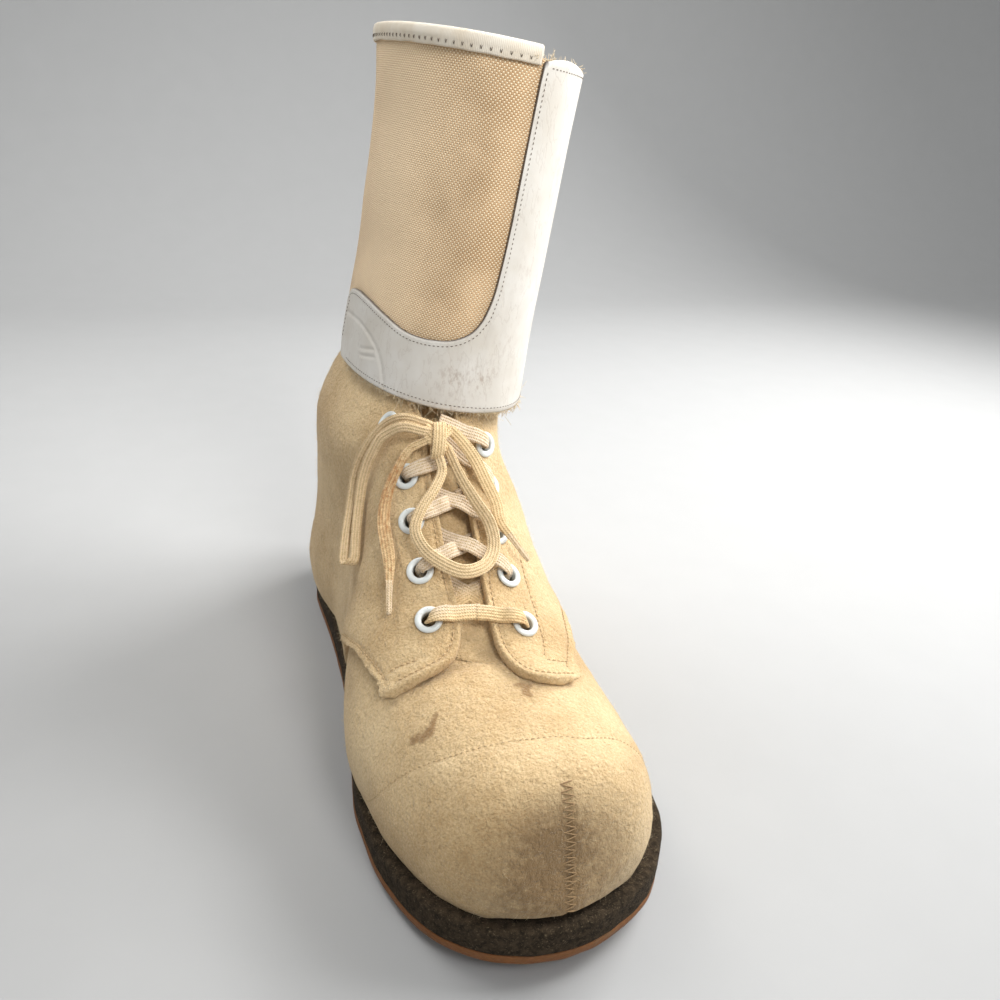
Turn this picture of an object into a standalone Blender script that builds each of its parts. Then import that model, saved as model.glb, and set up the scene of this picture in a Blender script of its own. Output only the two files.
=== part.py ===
"""Cold-weather mukluk boot for the left foot: felt upper with laced quarters, felt midsole, thin
rubber outsole and a tall canvas cuff with a leather panel, two straps and two buckles.

Lengths are in millimetres until a mesh is made, and metres in the scene. The toe points to -Y, +X is
the outer (lateral) side and +Z is up. A station is the distance back from the tip of the sole."""

import bmesh
import bpy
import numpy as np
from mathutils import Vector
from mathutils.bvhtree import BVHTree

MM = 0.001
GAP = 0.3

# Driving sizes
SOLE_LENGTH = 316.0
OUTSOLE_THICKNESS = 4.0
MIDSOLE_THICKNESS = 12.0
INSOLE_THICKNESS = 4.0
FELT = 4.5
TONGUE_FELT = 3.0
TOE_SPRING = 10.0
SPRING_BACK_TO = 95.0
FEATHER = OUTSOLE_THICKNESS + MIDSOLE_THICKNESS
MIDDLE = SOLE_LENGTH / 2


def table(names, rows):
    """Columns by name. The first column is what the others are worked out from."""
    return dict(zip(names.split(), np.array(rows, float).T))


def along(value, rows, name):
    """The named column at this value of the first column, on a smooth curve that doesn't overshoot."""
    x, y = list(rows.values())[0], rows[name]
    value = np.asarray(value, float)
    step = np.diff(x)
    rise = np.diff(y) / step
    turns = rise[:-1] * rise[1:] <= 0
    before, after = np.where(turns, 1.0, rise[:-1]), np.where(turns, 1.0, rise[1:])
    weight_a, weight_b = 2 * step[1:] + step[:-1], step[1:] + 2 * step[:-1]
    inner = (weight_a + weight_b) / (weight_a / before + weight_b / after)
    slope = np.concatenate([rise[:1], np.where(turns, 0.0, inner), rise[-1:]])
    i = np.clip(np.searchsorted(x, value, side="right") - 1, 0, len(x) - 2)
    t = np.clip((value - x[i]) / step[i], 0, 1)
    return (
        (1 + 2 * t) * (1 - t) ** 2 * y[i]
        + t * (1 - t) ** 2 * step[i] * slope[i]
        + t * t * (3 - 2 * t) * y[i + 1]
        + t * t * (t - 1) * step[i] * slope[i + 1]
    )


def smoothstep(value, low, high):
    t = np.clip((np.asarray(value, float) - low) / (high - low), 0, 1)
    return t * t * (3 - 2 * t)


# The sole's outline. Its widths are spread by an angle, which rounds both ends.
def turn(station):
    return np.arccos(np.clip(1 - 2 * np.asarray(station, float) / SOLE_LENGTH, -1, 1))


SOLE = table(
    "station middle half",
    [
        (0, -4.0, 0),
        (4.7, -4.5, 21.2),
        (14.4, -2.3, 36.9),
        (29, -0.9, 48.7),
        (48, 1.3, 57.0),
        (70, 1.6, 60.6),
        (92, 1.5, 60.8),
        (130, 2.5, 56.0),
        (175, 3.0, 49.0),
        (225, 2.5, 45.0),
        (270, 1.5, 43.5),
        (300, 0.5, 31.0),
        (SOLE_LENGTH, 0, 0),
    ],
)
SOLE_BY_TURN = {"turn": turn(SOLE["station"]), "middle": SOLE["middle"], "half": SOLE["half"]}

# The foot of the last: the ridge along its top, its ledges inside the sole's edge, how square its
# sections are and how high they are widest above the feather line.
FOOT_TIP = 3.5
FOOT = table(
    "station ridge_height ridge_x medial_ledge lateral_ledge squareness widest",
    [
        (3.5, 26, -6, 3, 5, 2.2, 10),
        (6.5, 35, -6, 3, 5, 2.2, 11),
        (10.5, 45, -5.5, 3, 5, 2.2, 12),
        (14.5, 55, -5, 2.5, 5, 2.2, 12),
        (19, 63, -5, 2.5, 5, 2.2, 12),
        (25, 69, -4.5, 2.5, 5, 2.2, 12),
        (34, 72.5, -4.5, 2.5, 6.5, 2.2, 13),
        (45, 73.5, -4.5, 2, 9.5, 2.15, 15),
        (70, 75, -6, 0.5, 11.5, 2.1, 18),
        (90, 77.5, -8, -1, 11, 2.05, 20),
        (107, 87, -8, -3, 10.5, 1.9, 20),
        (126, 101.5, -9, -4, 11, 1.75, 22),
        (141, 117, -10, -2, 11, 1.75, 22),
        (156, 133, -10, 1, 10, 1.75, 20),
        (170, 150, -10, 4, 8, 1.8, 16),
        (200, 130, -5, 6, 6, 2.0, 12),
        (240, 80, -1, 6, 6, 2.0, 12),
        (SOLE_LENGTH, 45, 0, 6, 6, 2.0, 12),
    ],
)
TUCK = 3.0
LEDGE_SCALE = 60.0

# The heel and shaft of the last, by height.
SHAFT = table(
    "height middle half front back",
    [
        (16, 0, 37, 215, 307),
        (40, 0, 39.5, 205, 310.5),
        (70, 0, 38.5, 192, 308),
        (100, -1.5, 38, 183, 301),
        (125, -3, 37.5, 174, 296),
        (145, 0, 34, 172, 291),
        (153, 3.5, 32.7, 171.2, 289),
        (160, 6.0, 32.2, 171.2, 288.8),
        (172, 7.4, 32.2, 171.2, 288.8),
        (190, 8, 32.2, 171.2, 288.8),
    ],
)
SHAFT_SQUARENESS = 2.15
BLEND = 12.0
BLEND_FADES = (138, 156)

# The surface is read off sheets that fan from the feather line to the collar: v = 0 to 1.
SHEETS = table(
    "v front front_rise back_rise",
    [
        (0, 6, 0, 0),
        (0.1, 8, 10, 5),
        (0.25, 14, 28, 12),
        (0.38, 30, 40, 20),
        (0.5, 60, 42, 28),
        (0.6, 88, 42, 34),
        (0.72, 112, 50, 52),
        (0.85, 140, 40, 88),
        (1, 168, 0, 154),
        (1.1, 172, 0, 166),
    ],
)
SHEET_CENTRE = table("v x", [(0, -4), (0.5, -5), (0.8, -9), (1.0, -7), (1.1, -6)])
SHEET_FALL = 45.0
ROUND_STEPS = 40
UP_ROWS = np.array(
    [0, 0.07, 0.15, 0.24, 0.33, 0.42, 0.5, 0.58, 0.66, 0.74, 0.82, 0.88, 0.93, 0.965, 1, 1.08]
)
SOLE_STEPS = 32

# The throat of the upper and the outlines of its quarters in plan: (x, station).
THROAT = [
    (-27.5, 100),
    (-17.7, 94),
    (0, 84),
    (12.5, 80),
    (12.5, 150),
    (7, 170),
    (7, 205),
    (-22, 205),
    (-22, 170),
    (-27.5, 150),
]
MEDIAL_PLAN = [
    (-14.6, 205),
    (-14.6, 103),
    (-16, 95),
    (-20, 87),
    (-29.7, 79.5),
    (-40, 81),
    (-49.8, 88.7),
    (-90, 88.7),
    (-90, 330),
    (-0.3, 330),
    (-0.3, 260),
]
LATERAL_PLAN = [
    (-0.4, 205),
    (-0.4, 130),
    (-2.4, 108),
    (-2.4, 101),
    (0, 89),
    (6, 76),
    (15, 71),
    (26, 73),
    (90, 73),
    (90, 330),
    (0.3, 330),
    (0.3, 260),
]

# What is cut away under the quarters, seen from the side: (station, z).
MEDIAL_EDGE = [
    (86, -5),
    (86, 66.5),
    (89, 67.6),
    (109, 67.2),
    (127, 64),
    (150, 52),
    (168, 36),
    (178, 18),
    (180, -5),
]
LATERAL_EDGE = [
    (70, -5),
    (70, 71),
    (73, 72.5),
    (90, 71.8),
    (104, 71),
    (130, 64),
    (152, 50),
    (170, 34),
    (179, 18),
    (181, -5),
]

# The lacing: eyelets from the top down, as (x, z) on the facings.
LACING_CENTRE = -7.5
LACE_ROOM = 2.9
INSIDE_STATION = 235
EYELETS = {
    "medial": [(-26.8, 146), (-24.4, 130.2), (-25.7, 116), (-26.1, 100.8), (-27.3, 88.2)],
    "lateral": [(12.9, 139.8), (12.6, 124.5), (10.9, 109.7), (11.2, 96.6), (11.9, 84.4)],
}
HOLE_RADIUS = 4.7
EYELET_RADIUS = 5.8
EYELET_BORE = 3.1
LACE_WIDTH = 7.0
LACE_THICKNESS = 1.6
LACE_IN_EYELET = 4.0
LACE_OVER_FLANGE = 8.9
LACE_OVER_FACING = 6.1
LACE_UNDER_FACING = -1.2
GAP_EDGES = {"medial": -13.2, "lateral": -3.8}
KNOT_SPOT = (-10.9, 146.5)
KNOT_HEIGHT = 11.1
KNOT_HALF = (4.2, 6.8, 3.5)
CORD = 3.0

# The loops and ends that hang from the knot: where they leave it, (across, up) from its middle, and
# then (x, station, z) of their middle lines.
LEAVES = {
    "lace_loop_medial": [(-4.9, 2.2)],
    "lace_end_medial": [(-4.8, -3)],
    "lace_loop_front": [(-1.2, -7.6), (3.6, -6.7)],
    "lace_end_lateral": [(5.4, 1.5)],
}
HANGING = {
    "lace_loop_medial": [
        (-24, 160, 153),
        (-31, 168.3, 146.8),
        (-36.8, 173.7, 134.5),
        (-39.7, 176.3, 123.4),
        (-42.4, 173.7, 109.6),
        (-45.4, 167, 100.9),
        (-48.8, 156.7, 92),
    ],
    "lace_end_medial": [
        (-23, 155.2, 142.8),
        (-28.6, 154.5, 134.2),
        (-33.4, 151.8, 124.5),
        (-36.7, 144.9, 115),
        (-37.5, 135.8, 108.3),
        (-37.9, 130.2, 103.7),
        (-39.6, 122.8, 96.5),
    ],
    "lace_loop_front": [
        (-12.6, 142.6, 137),
        (-17, 138.1, 131.4),
        (-24.2, 133.8, 123.7),
        (-27.3, 129.8, 117.8),
        (-25.6, 123.1, 112.2),
        (-20, 116.4, 108.4),
        (-11.4, 111.2, 105.9),
        (-1.9, 112.9, 106.7),
        (4, 119.4, 110.8),
        (4.6, 127.1, 118),
        (-0.1, 133.3, 126),
        (-4.2, 139.4, 133.2),
    ],
    "lace_end_lateral": [
        (-1.8, 150.5, 146.8),
        (3.6, 148.2, 139.2),
        (7.3, 142.5, 130.8),
        (10.4, 135.7, 122.4),
        (10.6, 130.6, 117.2),
        (14.8, 126.1, 110.6),
    ],
}

# The cuff: an oval tube that leans outward. Heights run up its own axis, and angles from its front
# by the lateral side.
CUFF_FOOT = (7.5, 230, 157)
CUFF_LEAN = 6.8
CUFF_SQUARENESS = 2.2
CUFF = table(
    "height half_width half_depth shift",
    [
        (-3, 39.7, 66.3, -1.6),
        (0, 39.6, 66.3, -1.6),
        (30, 38.2, 66.3, -1.6),
        (60, 37.4, 66.3, -1.0),
        (105, 37.6, 66.5, -1.2),
        (143.5, 39.6, 67.5, -2.4),
        (150, 39.8, 67.6, -2.5),
    ],
)
CANVAS = 1.6
LEATHER = 1.6
TAPE = 1.2
CUFF_TOP = 143.5
CUFF_STEPS = 40
CUFF_ROWS = [-1, 30, 60, 82, 105, 125, CUFF_TOP]
LEATHER_ROWS = [-2.5, 30, 60, 82, 105, 125, 142]
LEATHER_BACK = 99

# The top edge of the leather: a band round the front that rises to the full height at the side.
LEATHER_TOP = table(
    "angle height",
    [
        (-104, 20),
        (-99, 26),
        (-93, 31),
        (-78, 31),
        (-61, 28),
        (-43, 25),
        (-28, 26),
        (-15, 28.5),
        (-8, 33),
        (-3.5, 42),
        (-1, 60),
        (1, 85),
        (2.5, 105),
        (4.2, 125),
        (5.5, 136),
        (6.5, 143),
        (8, 150),
        (84, 150),
        (90, 144),
        (95, 136),
        (99, 124),
        (104, 100),
    ],
)
BINDING_ENDS = (4, -258)
BINDING_HEIGHT = 8.0
STRAPS = {"strap_upper": 99, "strap_lower": 41.5}
STRAP_WIDTH = 20.0
STRAP_ANGLES = (99.8, 108, 117, 126, 135, 139)
BUCKLE_ANGLE = 122
BUCKLE = (22, 30, 3)
BUCKLE_BAR = 3.0


def sole_edge(station):
    """(middle, half width) of the sole's outline."""
    angle = turn(station)
    return along(angle, SOLE_BY_TURN, "middle"), along(angle, SOLE_BY_TURN, "half")


def spring(station):
    """How far the sole is lifted off the floor by its toe spring."""
    return TOE_SPRING * np.clip(1 - np.asarray(station, float) / SPRING_BACK_TO, 0, None) ** 2


def foot_field(x, station, z):
    """Negative inside the foot of the last, 0 on it, and near a distance in mm round it."""
    spread = np.clip((station - FOOT_TIP) * SOLE_LENGTH / (SOLE_LENGTH - 2 * FOOT_TIP), 0, SOLE_LENGTH)
    middle, half = sole_edge(spread)
    medial = middle - half * (1 - along(station, FOOT, "medial_ledge") / LEDGE_SCALE)
    lateral = middle + half * (1 - along(station, FOOT, "lateral_ledge") / LEDGE_SCALE)
    ridge = np.clip(
        along(station, FOOT, "ridge_x"),
        0.65 * medial + 0.35 * lateral,
        0.35 * medial + 0.65 * lateral,
    )
    side = np.where(x < ridge, ridge - medial, lateral - ridge)
    widest = FEATHER + spring(station) + along(station, FOOT, "widest")
    top = np.maximum(along(station, FOOT, "ridge_height"), widest + 0.001)
    above = np.clip((z - widest) / (top - widest), 0, None)
    below = np.clip((widest - z) / along(station, FOOT, "widest"), 0, None)
    across = np.abs(x - ridge) / np.maximum(side - TUCK * below**2, 0.001)
    power = along(station, FOOT, "squareness")
    ratio = (across**power + above**power) ** (1 / power)
    outside = (station < FOOT_TIP) | (station > SOLE_LENGTH - FOOT_TIP)
    return np.where(outside, MIDDLE, (ratio - 1) * np.minimum(side, 45.0))


def shaft_field(x, station, z):
    """Negative inside the heel and shaft of the last."""
    middle, half, front, back = (along(z, SHAFT, n) for n in ("middle", "half", "front", "back"))
    across = np.abs((x - middle) / half) ** SHAFT_SQUARENESS
    deep = np.abs((station - (front + back) / 2) / ((back - front) / 2)) ** SHAFT_SQUARENESS
    return ((across + deep) ** (1 / SHAFT_SQUARENESS) - 1) * half


def last_field(x, station, z):
    """Foot and shaft, with a fillet between them."""
    foot, shaft = foot_field(x, station, z), shaft_field(x, station, z)
    blend = BLEND * (1 - 0.9 * smoothstep(z, *BLEND_FADES))
    near = np.clip(blend - np.abs(foot - shaft), 0, None) / blend
    return np.minimum(foot, shaft) - near * near * blend / 4


def skin(u, v):
    """Points of the last's skin: u goes round from the heel by the medial side, v up from the sole."""
    u, v = np.broadcast_arrays(np.asarray(u, float), np.asarray(v, float))
    front, back = along(v, SHEETS, "front"), 308 - 10 * v
    centre, reach = (front + back) / 2, (back - front) / 2 * 1.8
    low, high = np.zeros(u.shape), np.ones(u.shape)
    for _ in range(34):
        part = (low + high) / 2
        x = along(v, SHEET_CENTRE, "x") - 90 * part * np.sin(2 * np.pi * u)
        station = centre + reach * part * np.cos(2 * np.pi * u)
        fall = np.exp(-np.clip(station - front, 0, None) / SHEET_FALL)
        rise = along(v, SHEETS, "back_rise") + along(v, SHEETS, "front_rise") * fall
        z = FEATHER + GAP + spring(station) + rise
        within = last_field(x, station, z) < 0
        low, high = np.where(within, part, low), np.where(within, high, part)
    return np.stack([x, station - MIDDLE, z], -1)


def skin_grid():
    """Rings of skin points, one for each of UP_ROWS, and their outward directions."""
    points = skin(np.arange(ROUND_STEPS)[None, :] / ROUND_STEPS, UP_ROWS[:, None])
    round_ways = np.roll(points, -1, 1) - np.roll(points, 1, 1)
    up_ways = np.gradient(points, axis=0)
    outward = np.cross(round_ways, up_ways)
    return points, outward / np.linalg.norm(outward, axis=-1, keepdims=True)


def outward_at(point):
    """The outward direction of the last at one point."""
    x, y, z = point
    value = []
    for dx, dy, dz in np.eye(3) * 0.5:
        ahead = last_field(x + dx, y + dy + MIDDLE, z + dz)
        value.append(ahead - last_field(x - dx, y - dy + MIDDLE, z - dz))
    return np.array(value) / np.linalg.norm(value)


# Meshes
def material(name, colour, roughness, metallic=0.0):
    made = bpy.data.materials.new(name)
    made.use_nodes = True
    shader = made.node_tree.nodes["Principled BSDF"]
    shader.inputs["Base Color"].default_value = (*colour, 1)
    shader.inputs["Roughness"].default_value = roughness
    shader.inputs["Metallic"].default_value = metallic
    made.diffuse_color = (*colour, 1)
    return made


def collection(name):
    made = bpy.data.collections.new(name)
    bpy.context.scene.collection.children.link(made)
    return made


def add(name, mesh, look):
    """Puts a mesh in the scene: a part with its material, or a cutter with none."""
    obj = bpy.data.objects.new(name, mesh)
    if look is None:
        CUTTERS.objects.link(obj)
        obj.hide_render = True
        obj.display_type = "WIRE"
    else:
        PARTS.objects.link(obj)
        mesh.materials.append(look)
    return obj


def solid(name, points, faces, look):
    """A mesh object from points in millimetres, with its faces turned outward."""
    mesh = bpy.data.meshes.new(name)
    mesh.from_pydata((np.asarray(points, float) * MM).tolist(), [], [list(map(int, f)) for f in faces])
    shape = bmesh.new()
    shape.from_mesh(mesh)
    bmesh.ops.recalc_face_normals(shape, faces=shape.faces)
    shape.to_mesh(mesh)
    shape.free()
    return add(name, mesh, look)


def cut(obj, cutter, operation="DIFFERENCE"):
    modifier = obj.modifiers.new(operation.title() + " " + cutter.name, "BOOLEAN")
    modifier.operation = operation
    modifier.solver = "EXACT"
    modifier.object = cutter


def cells(rows, columns, ring):
    """The triangles of a grid of points, row by row, and the loops of points round its open edges."""
    index = np.arange(rows * columns).reshape(rows, columns)
    wide = np.concatenate([index, index[:, :1]], 1) if ring else index
    a, b, c, d = wide[:-1, :-1], wide[:-1, 1:], wide[1:, 1:], wide[1:, :-1]
    first, second = np.stack([a, b, c], -1), np.stack([a, c, d], -1)
    triangles = np.concatenate([first.reshape(-1, 3), second.reshape(-1, 3)])
    if ring:
        return triangles, [wide[0], wide[-1]]
    return triangles, [np.concatenate([wide[0], wide[1:, -1], wide[-1, -2::-1], wide[-2::-1, 0]])]


def shell(name, outer, inner, ring, look):
    """A wall between two grids of points. A ring's columns run right round it."""
    rows, columns = outer.shape[:2]
    triangles, edges = cells(rows, columns, ring)
    count = rows * columns
    faces = triangles.tolist() + (triangles[:, ::-1] + count).tolist()
    for edge in edges:
        for a, b in zip(edge[:-1], edge[1:]):
            faces += [(a, b, b + count), (a, b + count, a + count)]
    points = np.concatenate([outer.reshape(-1, 3), inner.reshape(-1, 3)])
    return solid(name, points, faces, look)


def loft(name, rings, look):
    """Rings of points joined one after the other, with flat ends."""
    rings = np.asarray(rings)
    count, around = rings.shape[:2]
    index = np.arange(count * around).reshape(count, around)
    after = np.roll(index, -1, 1)
    sides = np.stack([index[:-1], after[:-1], after[1:], index[1:]], -1).reshape(-1, 4)
    return solid(name, rings.reshape(-1, 3), sides.tolist() + [index[0], index[-1]], look)


def prism(name, outline, low, high, upright):
    """A cutter over an outline: in plan, (x, station), or from the side, (station, z)."""
    outline = np.asarray(outline, float)
    layers = []
    for level in (low, high):
        filled = np.full(len(outline), float(level))
        if upright:
            layers.append(np.stack([outline[:, 0], outline[:, 1] - MIDDLE, filled], -1))
        else:
            layers.append(np.stack([filled, outline[:, 0] - MIDDLE, outline[:, 1]], -1))
    return loft(name, layers, None)


def inset(outline, distance):
    """A closed outline moved inward by a distance, measured square to each side."""
    outline = np.asarray(outline, float)
    along_side = np.roll(outline, -1, 0) - outline
    along_side /= np.linalg.norm(along_side, axis=1, keepdims=True)
    after = np.roll(outline, -1, 0)
    area = np.sum(outline[:, 0] * after[:, 1] - after[:, 0] * outline[:, 1])
    inward = np.stack([-along_side[:, 1], along_side[:, 0]], -1) * np.sign(area)
    mean = inward + np.roll(inward, 1, 0)
    return outline + distance * 2 * mean / np.sum(mean * mean, axis=1, keepdims=True)


def lathe(name, profile, place, look, steps):
    """A profile of (radius, height) turned about a place's axis, closed on itself."""
    rings = []
    angle = np.arange(steps) * 2 * np.pi / steps
    for radius, height in profile:
        turned = np.stack([radius * np.cos(angle), radius * np.sin(angle), np.full(steps, height)], -1)
        rings.append(turned @ place["axes"] + place["point"])
    if look is None:
        return loft(name, rings, look)
    rings = np.array(rings)
    count = len(profile)
    index = np.arange(count * steps).reshape(count, steps)
    index = np.concatenate([index, index[:1]])
    after = np.roll(index, -1, 1)
    sides = np.stack([index[:-1], after[:-1], after[1:], index[1:]], -1).reshape(-1, 4)
    return solid(name, rings.reshape(-1, 3), sides.tolist(), look)


# Soles
def sole_ring(inward, above):
    """The sole's outline, moved in from its edge, at this height over the spring of the sole."""
    stations = SOLE_LENGTH / 2 * (1 - np.cos(np.linspace(0, np.pi, SOLE_STEPS + 1)))
    middle, half = sole_edge(stations)
    lateral = np.stack([middle + half, stations], -1)
    medial = np.stack([middle - half, stations], -1)[-2:0:-1]
    x, station = inset(np.concatenate([lateral, medial]), inward).T
    return np.stack([x, station - MIDDLE, spring(station) + above], -1)


def sole_layer(name, levels, look):
    """A layer of the sole: levels are rows of (inward, above) from its underside to its top."""
    rings = np.array([sole_ring(*level) for level in levels])
    count, around = rings.shape[:2]
    index = np.arange(count * around).reshape(count, around)
    after = np.roll(index, -1, 1)
    faces = np.stack([index[:-1], after[:-1], after[1:], index[1:]], -1).reshape(-1, 4).tolist()
    for ring in (index[0], index[-1]):
        heel = len(ring) // 2
        left, right = ring[1:heel], ring[:heel:-1]
        faces += [(ring[0], left[0], right[0]), (left[-1], ring[heel], right[-1])]
        faces += list(zip(left[:-1], left[1:], right[1:], right[:-1]))
    return solid(name, rings.reshape(-1, 3), faces, look)


def make_soles():
    outsole = [(1.0, 0), (0, 1.2), (0, OUTSOLE_THICKNESS)]
    sole_layer("outsole", outsole, AMBER_RUBBER)
    midsole = [(0, OUTSOLE_THICKNESS + GAP), (0, FEATHER - 1.5), (1.2, FEATHER)]
    sole_layer("midsole", midsole, FLECKED_FELT)


def make_insole(points):
    """The insole follows the upper's foot line, inside its wall."""
    x, station = inset(points[0][:, :2] + [0, MIDDLE], FELT + 2).T
    heel, toe = station.max() - 0.5, station.min() + 0.5
    turned = np.linspace(0.06, np.pi - 0.06, 25)
    stations = (heel + toe) / 2 - (heel - toe) / 2 * np.cos(turned)
    half = ROUND_STEPS // 2
    medial = np.interp(stations, station[half::-1], x[half::-1])
    lateral = np.interp(stations, np.append(station[half:], station[0]), np.append(x[half:], x[0]))
    rings = []
    for above in (FEATHER + GAP, FEATHER + GAP + INSOLE_THICKNESS):
        z = spring(stations) + above
        rings += [np.stack([side, stations - MIDDLE, z], -1) for side in (medial, lateral)]
    loft("insole", np.stack([rings[0], rings[1], rings[3], rings[2]], 1), INSOLE_FELT)


# Felt
def sink(points):
    """How far the layer under the facings lies below the skin, to leave the lace its room."""
    x, station = points[..., 0], points[..., 1] + MIDDLE
    across = 1 - smoothstep(np.abs(x - LACING_CENTRE), 26, 34)
    return LACE_ROOM * across * smoothstep(station, 84, 94) * (1 - smoothstep(station, 200, 215))


def layer(points, outward, low, high):
    """The two faces of a layer between these heights over the skin, flat where it meets the sole."""
    faces = []
    for height in (high, low):
        face = points + np.broadcast_to(height, points.shape[:2])[..., None] * outward
        face[0, :, 2] = points[0, :, 2]
        face[..., 2] = np.maximum(face[..., 2], FEATHER + GAP + spring(face[..., 1] + MIDDLE))
        faces.append(face)
    return faces


def make_upper(points, outward):
    down = sink(points)
    outer, inner = layer(points, outward, -FELT - down, -down)
    upper = shell("upper", outer[:-1], inner[:-1], True, CREAM_FELT)
    cut(upper, prism("throat", THROAT, 50, 210, True))


def make_tongue(points, outward):
    rows = UP_ROWS >= 0.45
    columns = slice(ROUND_STEPS // 4, 3 * ROUND_STEPS // 4 + 1)
    points, outward = points[rows, columns], outward[rows, columns]
    down = sink(points)[..., None]
    outer, inner = points - down * outward, points - (down + TONGUE_FELT) * outward
    tongue = shell("tongue", outer, inner, False, CREAM_FELT)
    cut(tongue, prism("tongue outline", inset(THROAT, GAP), 50, 210, True), "INTERSECT")


def make_quarters(points, outward):
    """The two laced quarters: one layer, cut in plan along the facings and the back seam."""
    outer, inner = layer(points, outward, GAP, GAP + FELT)
    sides = (("medial", MEDIAL_PLAN, MEDIAL_EDGE), ("lateral", LATERAL_PLAN, LATERAL_EDGE))
    for side, plan, edge in sides:
        quarter = shell("quarter_" + side, outer[:-1], inner[:-1], True, CREAM_FELT)
        cut(quarter, prism(side + " outline", plan, 5, 210, True), "INTERSECT")
        cut(quarter, prism(side + " lower edge", edge, -90, 90, False))
        for number, place in enumerate(EYELET_PLACES[side], 1):
            hole = [(HOLE_RADIUS, -FELT - 3), (HOLE_RADIUS, 3)]
            cut(quarter, lathe(f"{side} hole {number}", hole, place, None, 12))


def surface_tree(points):
    """A ring grid of points as a surface to cast on, faceted as its shell is."""
    triangles, _ = cells(*points.shape[:2], True)
    return BVHTree.FromPolygons(points.reshape(-1, 3).tolist(), triangles.tolist())


def on_facing(x, z, height):
    """The point at this height over the skin where the facings have this x and z, and its outward way."""
    start = Vector((x, INSIDE_STATION - MIDDLE, z))
    point = np.array(FACING_TREE.ray_cast(start, Vector((0, -1, 0)))[0])
    outward = outward_at(point)
    return point + (height - GAP - FELT) * outward, outward


def seat(point, outward, tree, wide, tall):
    """A place square to a surface, lifted until an oval of this size is clear of it."""
    side = np.cross([0, 0, 1], outward)
    side /= np.linalg.norm(side)
    axes = np.array([side, np.cross(outward, side), outward])
    above = []
    for angle in np.arange(16) * np.pi / 8:
        rim = point + wide / 2 * np.cos(angle) * axes[0] + tall / 2 * np.sin(angle) * axes[1]
        hit = tree.ray_cast(Vector(rim + 20 * outward), Vector(-outward))[0]
        above.append((np.array(hit) - point) @ outward)
    return {"point": point + (max(above) + GAP) * outward, "axes": axes, "base": point}


def eyelet_places():
    """Where each eyelet's flange rests on its facing."""
    places = {}
    for side, spots in EYELETS.items():
        places[side] = []
        for x, z in spots:
            point, outward = on_facing(x, z, GAP + FELT)
            flange = 2 * EYELET_RADIUS
            places[side].append(seat(point, outward, FACING_TREE, flange, flange))
    return places


def make_eyelets():
    profile = [
        (EYELET_BORE, 0.5),
        (EYELET_BORE + 1.1, 1.2),
        (EYELET_RADIUS, 0),
        (EYELET_BORE + 0.8, 0),
        (EYELET_BORE + 0.8, -FELT + 0.4),
        (EYELET_BORE, -FELT + 0.4),
    ]
    for side, places in EYELET_PLACES.items():
        for number, place in enumerate(places, 1):
            lathe(f"eyelet_{side}_{number}", profile, place, ENAMELLED_STEEL, 10)


# The lace
def strand(start, end, over_start, over_end):
    """Rows of (point, outward, heading, width) for the lace from one spot to the next. Each spot is
    (x, z, side), and a side of None is under the knot. The lace is over or under each facing."""
    ways = 1 if end[0] > start[0] else -1
    first, _ = on_facing(start[0], start[1], 0)
    last, _ = on_facing(end[0], end[1], 0)
    heading = (last - first) / np.linalg.norm(last - first)

    def near(over):
        if over:
            return [(2.9, LACE_OVER_FLANGE, 5.5), (6.8, LACE_OVER_FLANGE - 0.4, 7), (9.6, 6.6, 7)]
        return [(2.9, LACE_UNDER_FACING, 5.2), (6.8, LACE_UNDER_FACING, 7)]

    rows = [(start[0] + ways * away, height, width) for away, height, width in near(over_start)]
    level = {True: LACE_OVER_FACING, False: LACE_UNDER_FACING}
    edges = sorted(GAP_EDGES.values(), reverse=ways < 0)
    if start[2] is None:
        rows = [(start[0], LACE_OVER_FACING, LACE_WIDTH), (edges[1], LACE_OVER_FACING, LACE_WIDTH)]
    elif end[2] is None:
        rows.append((edges[0], LACE_OVER_FACING, LACE_WIDTH))
        rows.append((end[0], LACE_OVER_FACING, LACE_WIDTH))
    else:
        middle = (level[over_start] + level[over_end]) / 2
        rows.append((edges[0], level[over_start], LACE_WIDTH))
        rows.append((sum(edges) / 2, middle, LACE_WIDTH))
        rows.append((edges[1], level[over_end], LACE_WIDTH))
    if end[2] is not None:
        rows += [(end[0] - ways * away, height, width) for away, height, width in near(over_end)[::-1]]
    made = []
    for x, height, width in rows:
        z = start[1] + (end[1] - start[1]) * (x - start[0]) / (end[0] - start[0])
        point, outward = on_facing(x, z, height)
        made.append((point, outward, heading, width))
    return made


def passing(place, come, leave, rising):
    """The lace through an eyelet, between the headings that it comes and leaves by."""
    outward = place["axes"][2]
    heights = (0.7, 3.5, 7.9) if rising else (7.9, 3.5, 0.7)
    rows = []
    for along_it, height in zip((-0.9, 0, 0.9), heights):
        heading = come if along_it < 0 else leave
        point = place["base"] + along_it * heading + (height - GAP - FELT) * outward
        rows.append((point, outward, come + leave if along_it == 0 else heading, LACE_IN_EYELET))
    return rows


def lace_half(spots):
    """One half of the lace, from the middle of the bar at the bottom up to the knot."""
    rows = []
    strands = []
    for number, (start, end) in enumerate(zip(spots[:-1], spots[1:])):
        over_start = number != 1
        over_end = number == 0 or end[2] is None
        strands.append(strand(start[:3], end[:3], over_start, over_end))
    for number, made in enumerate(strands):
        rows += made
        if number + 1 < len(strands):
            place = spots[number + 1][3]
            rows += passing(place, made[0][2], strands[number + 1][0][2], number > 0)
    return rows


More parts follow.
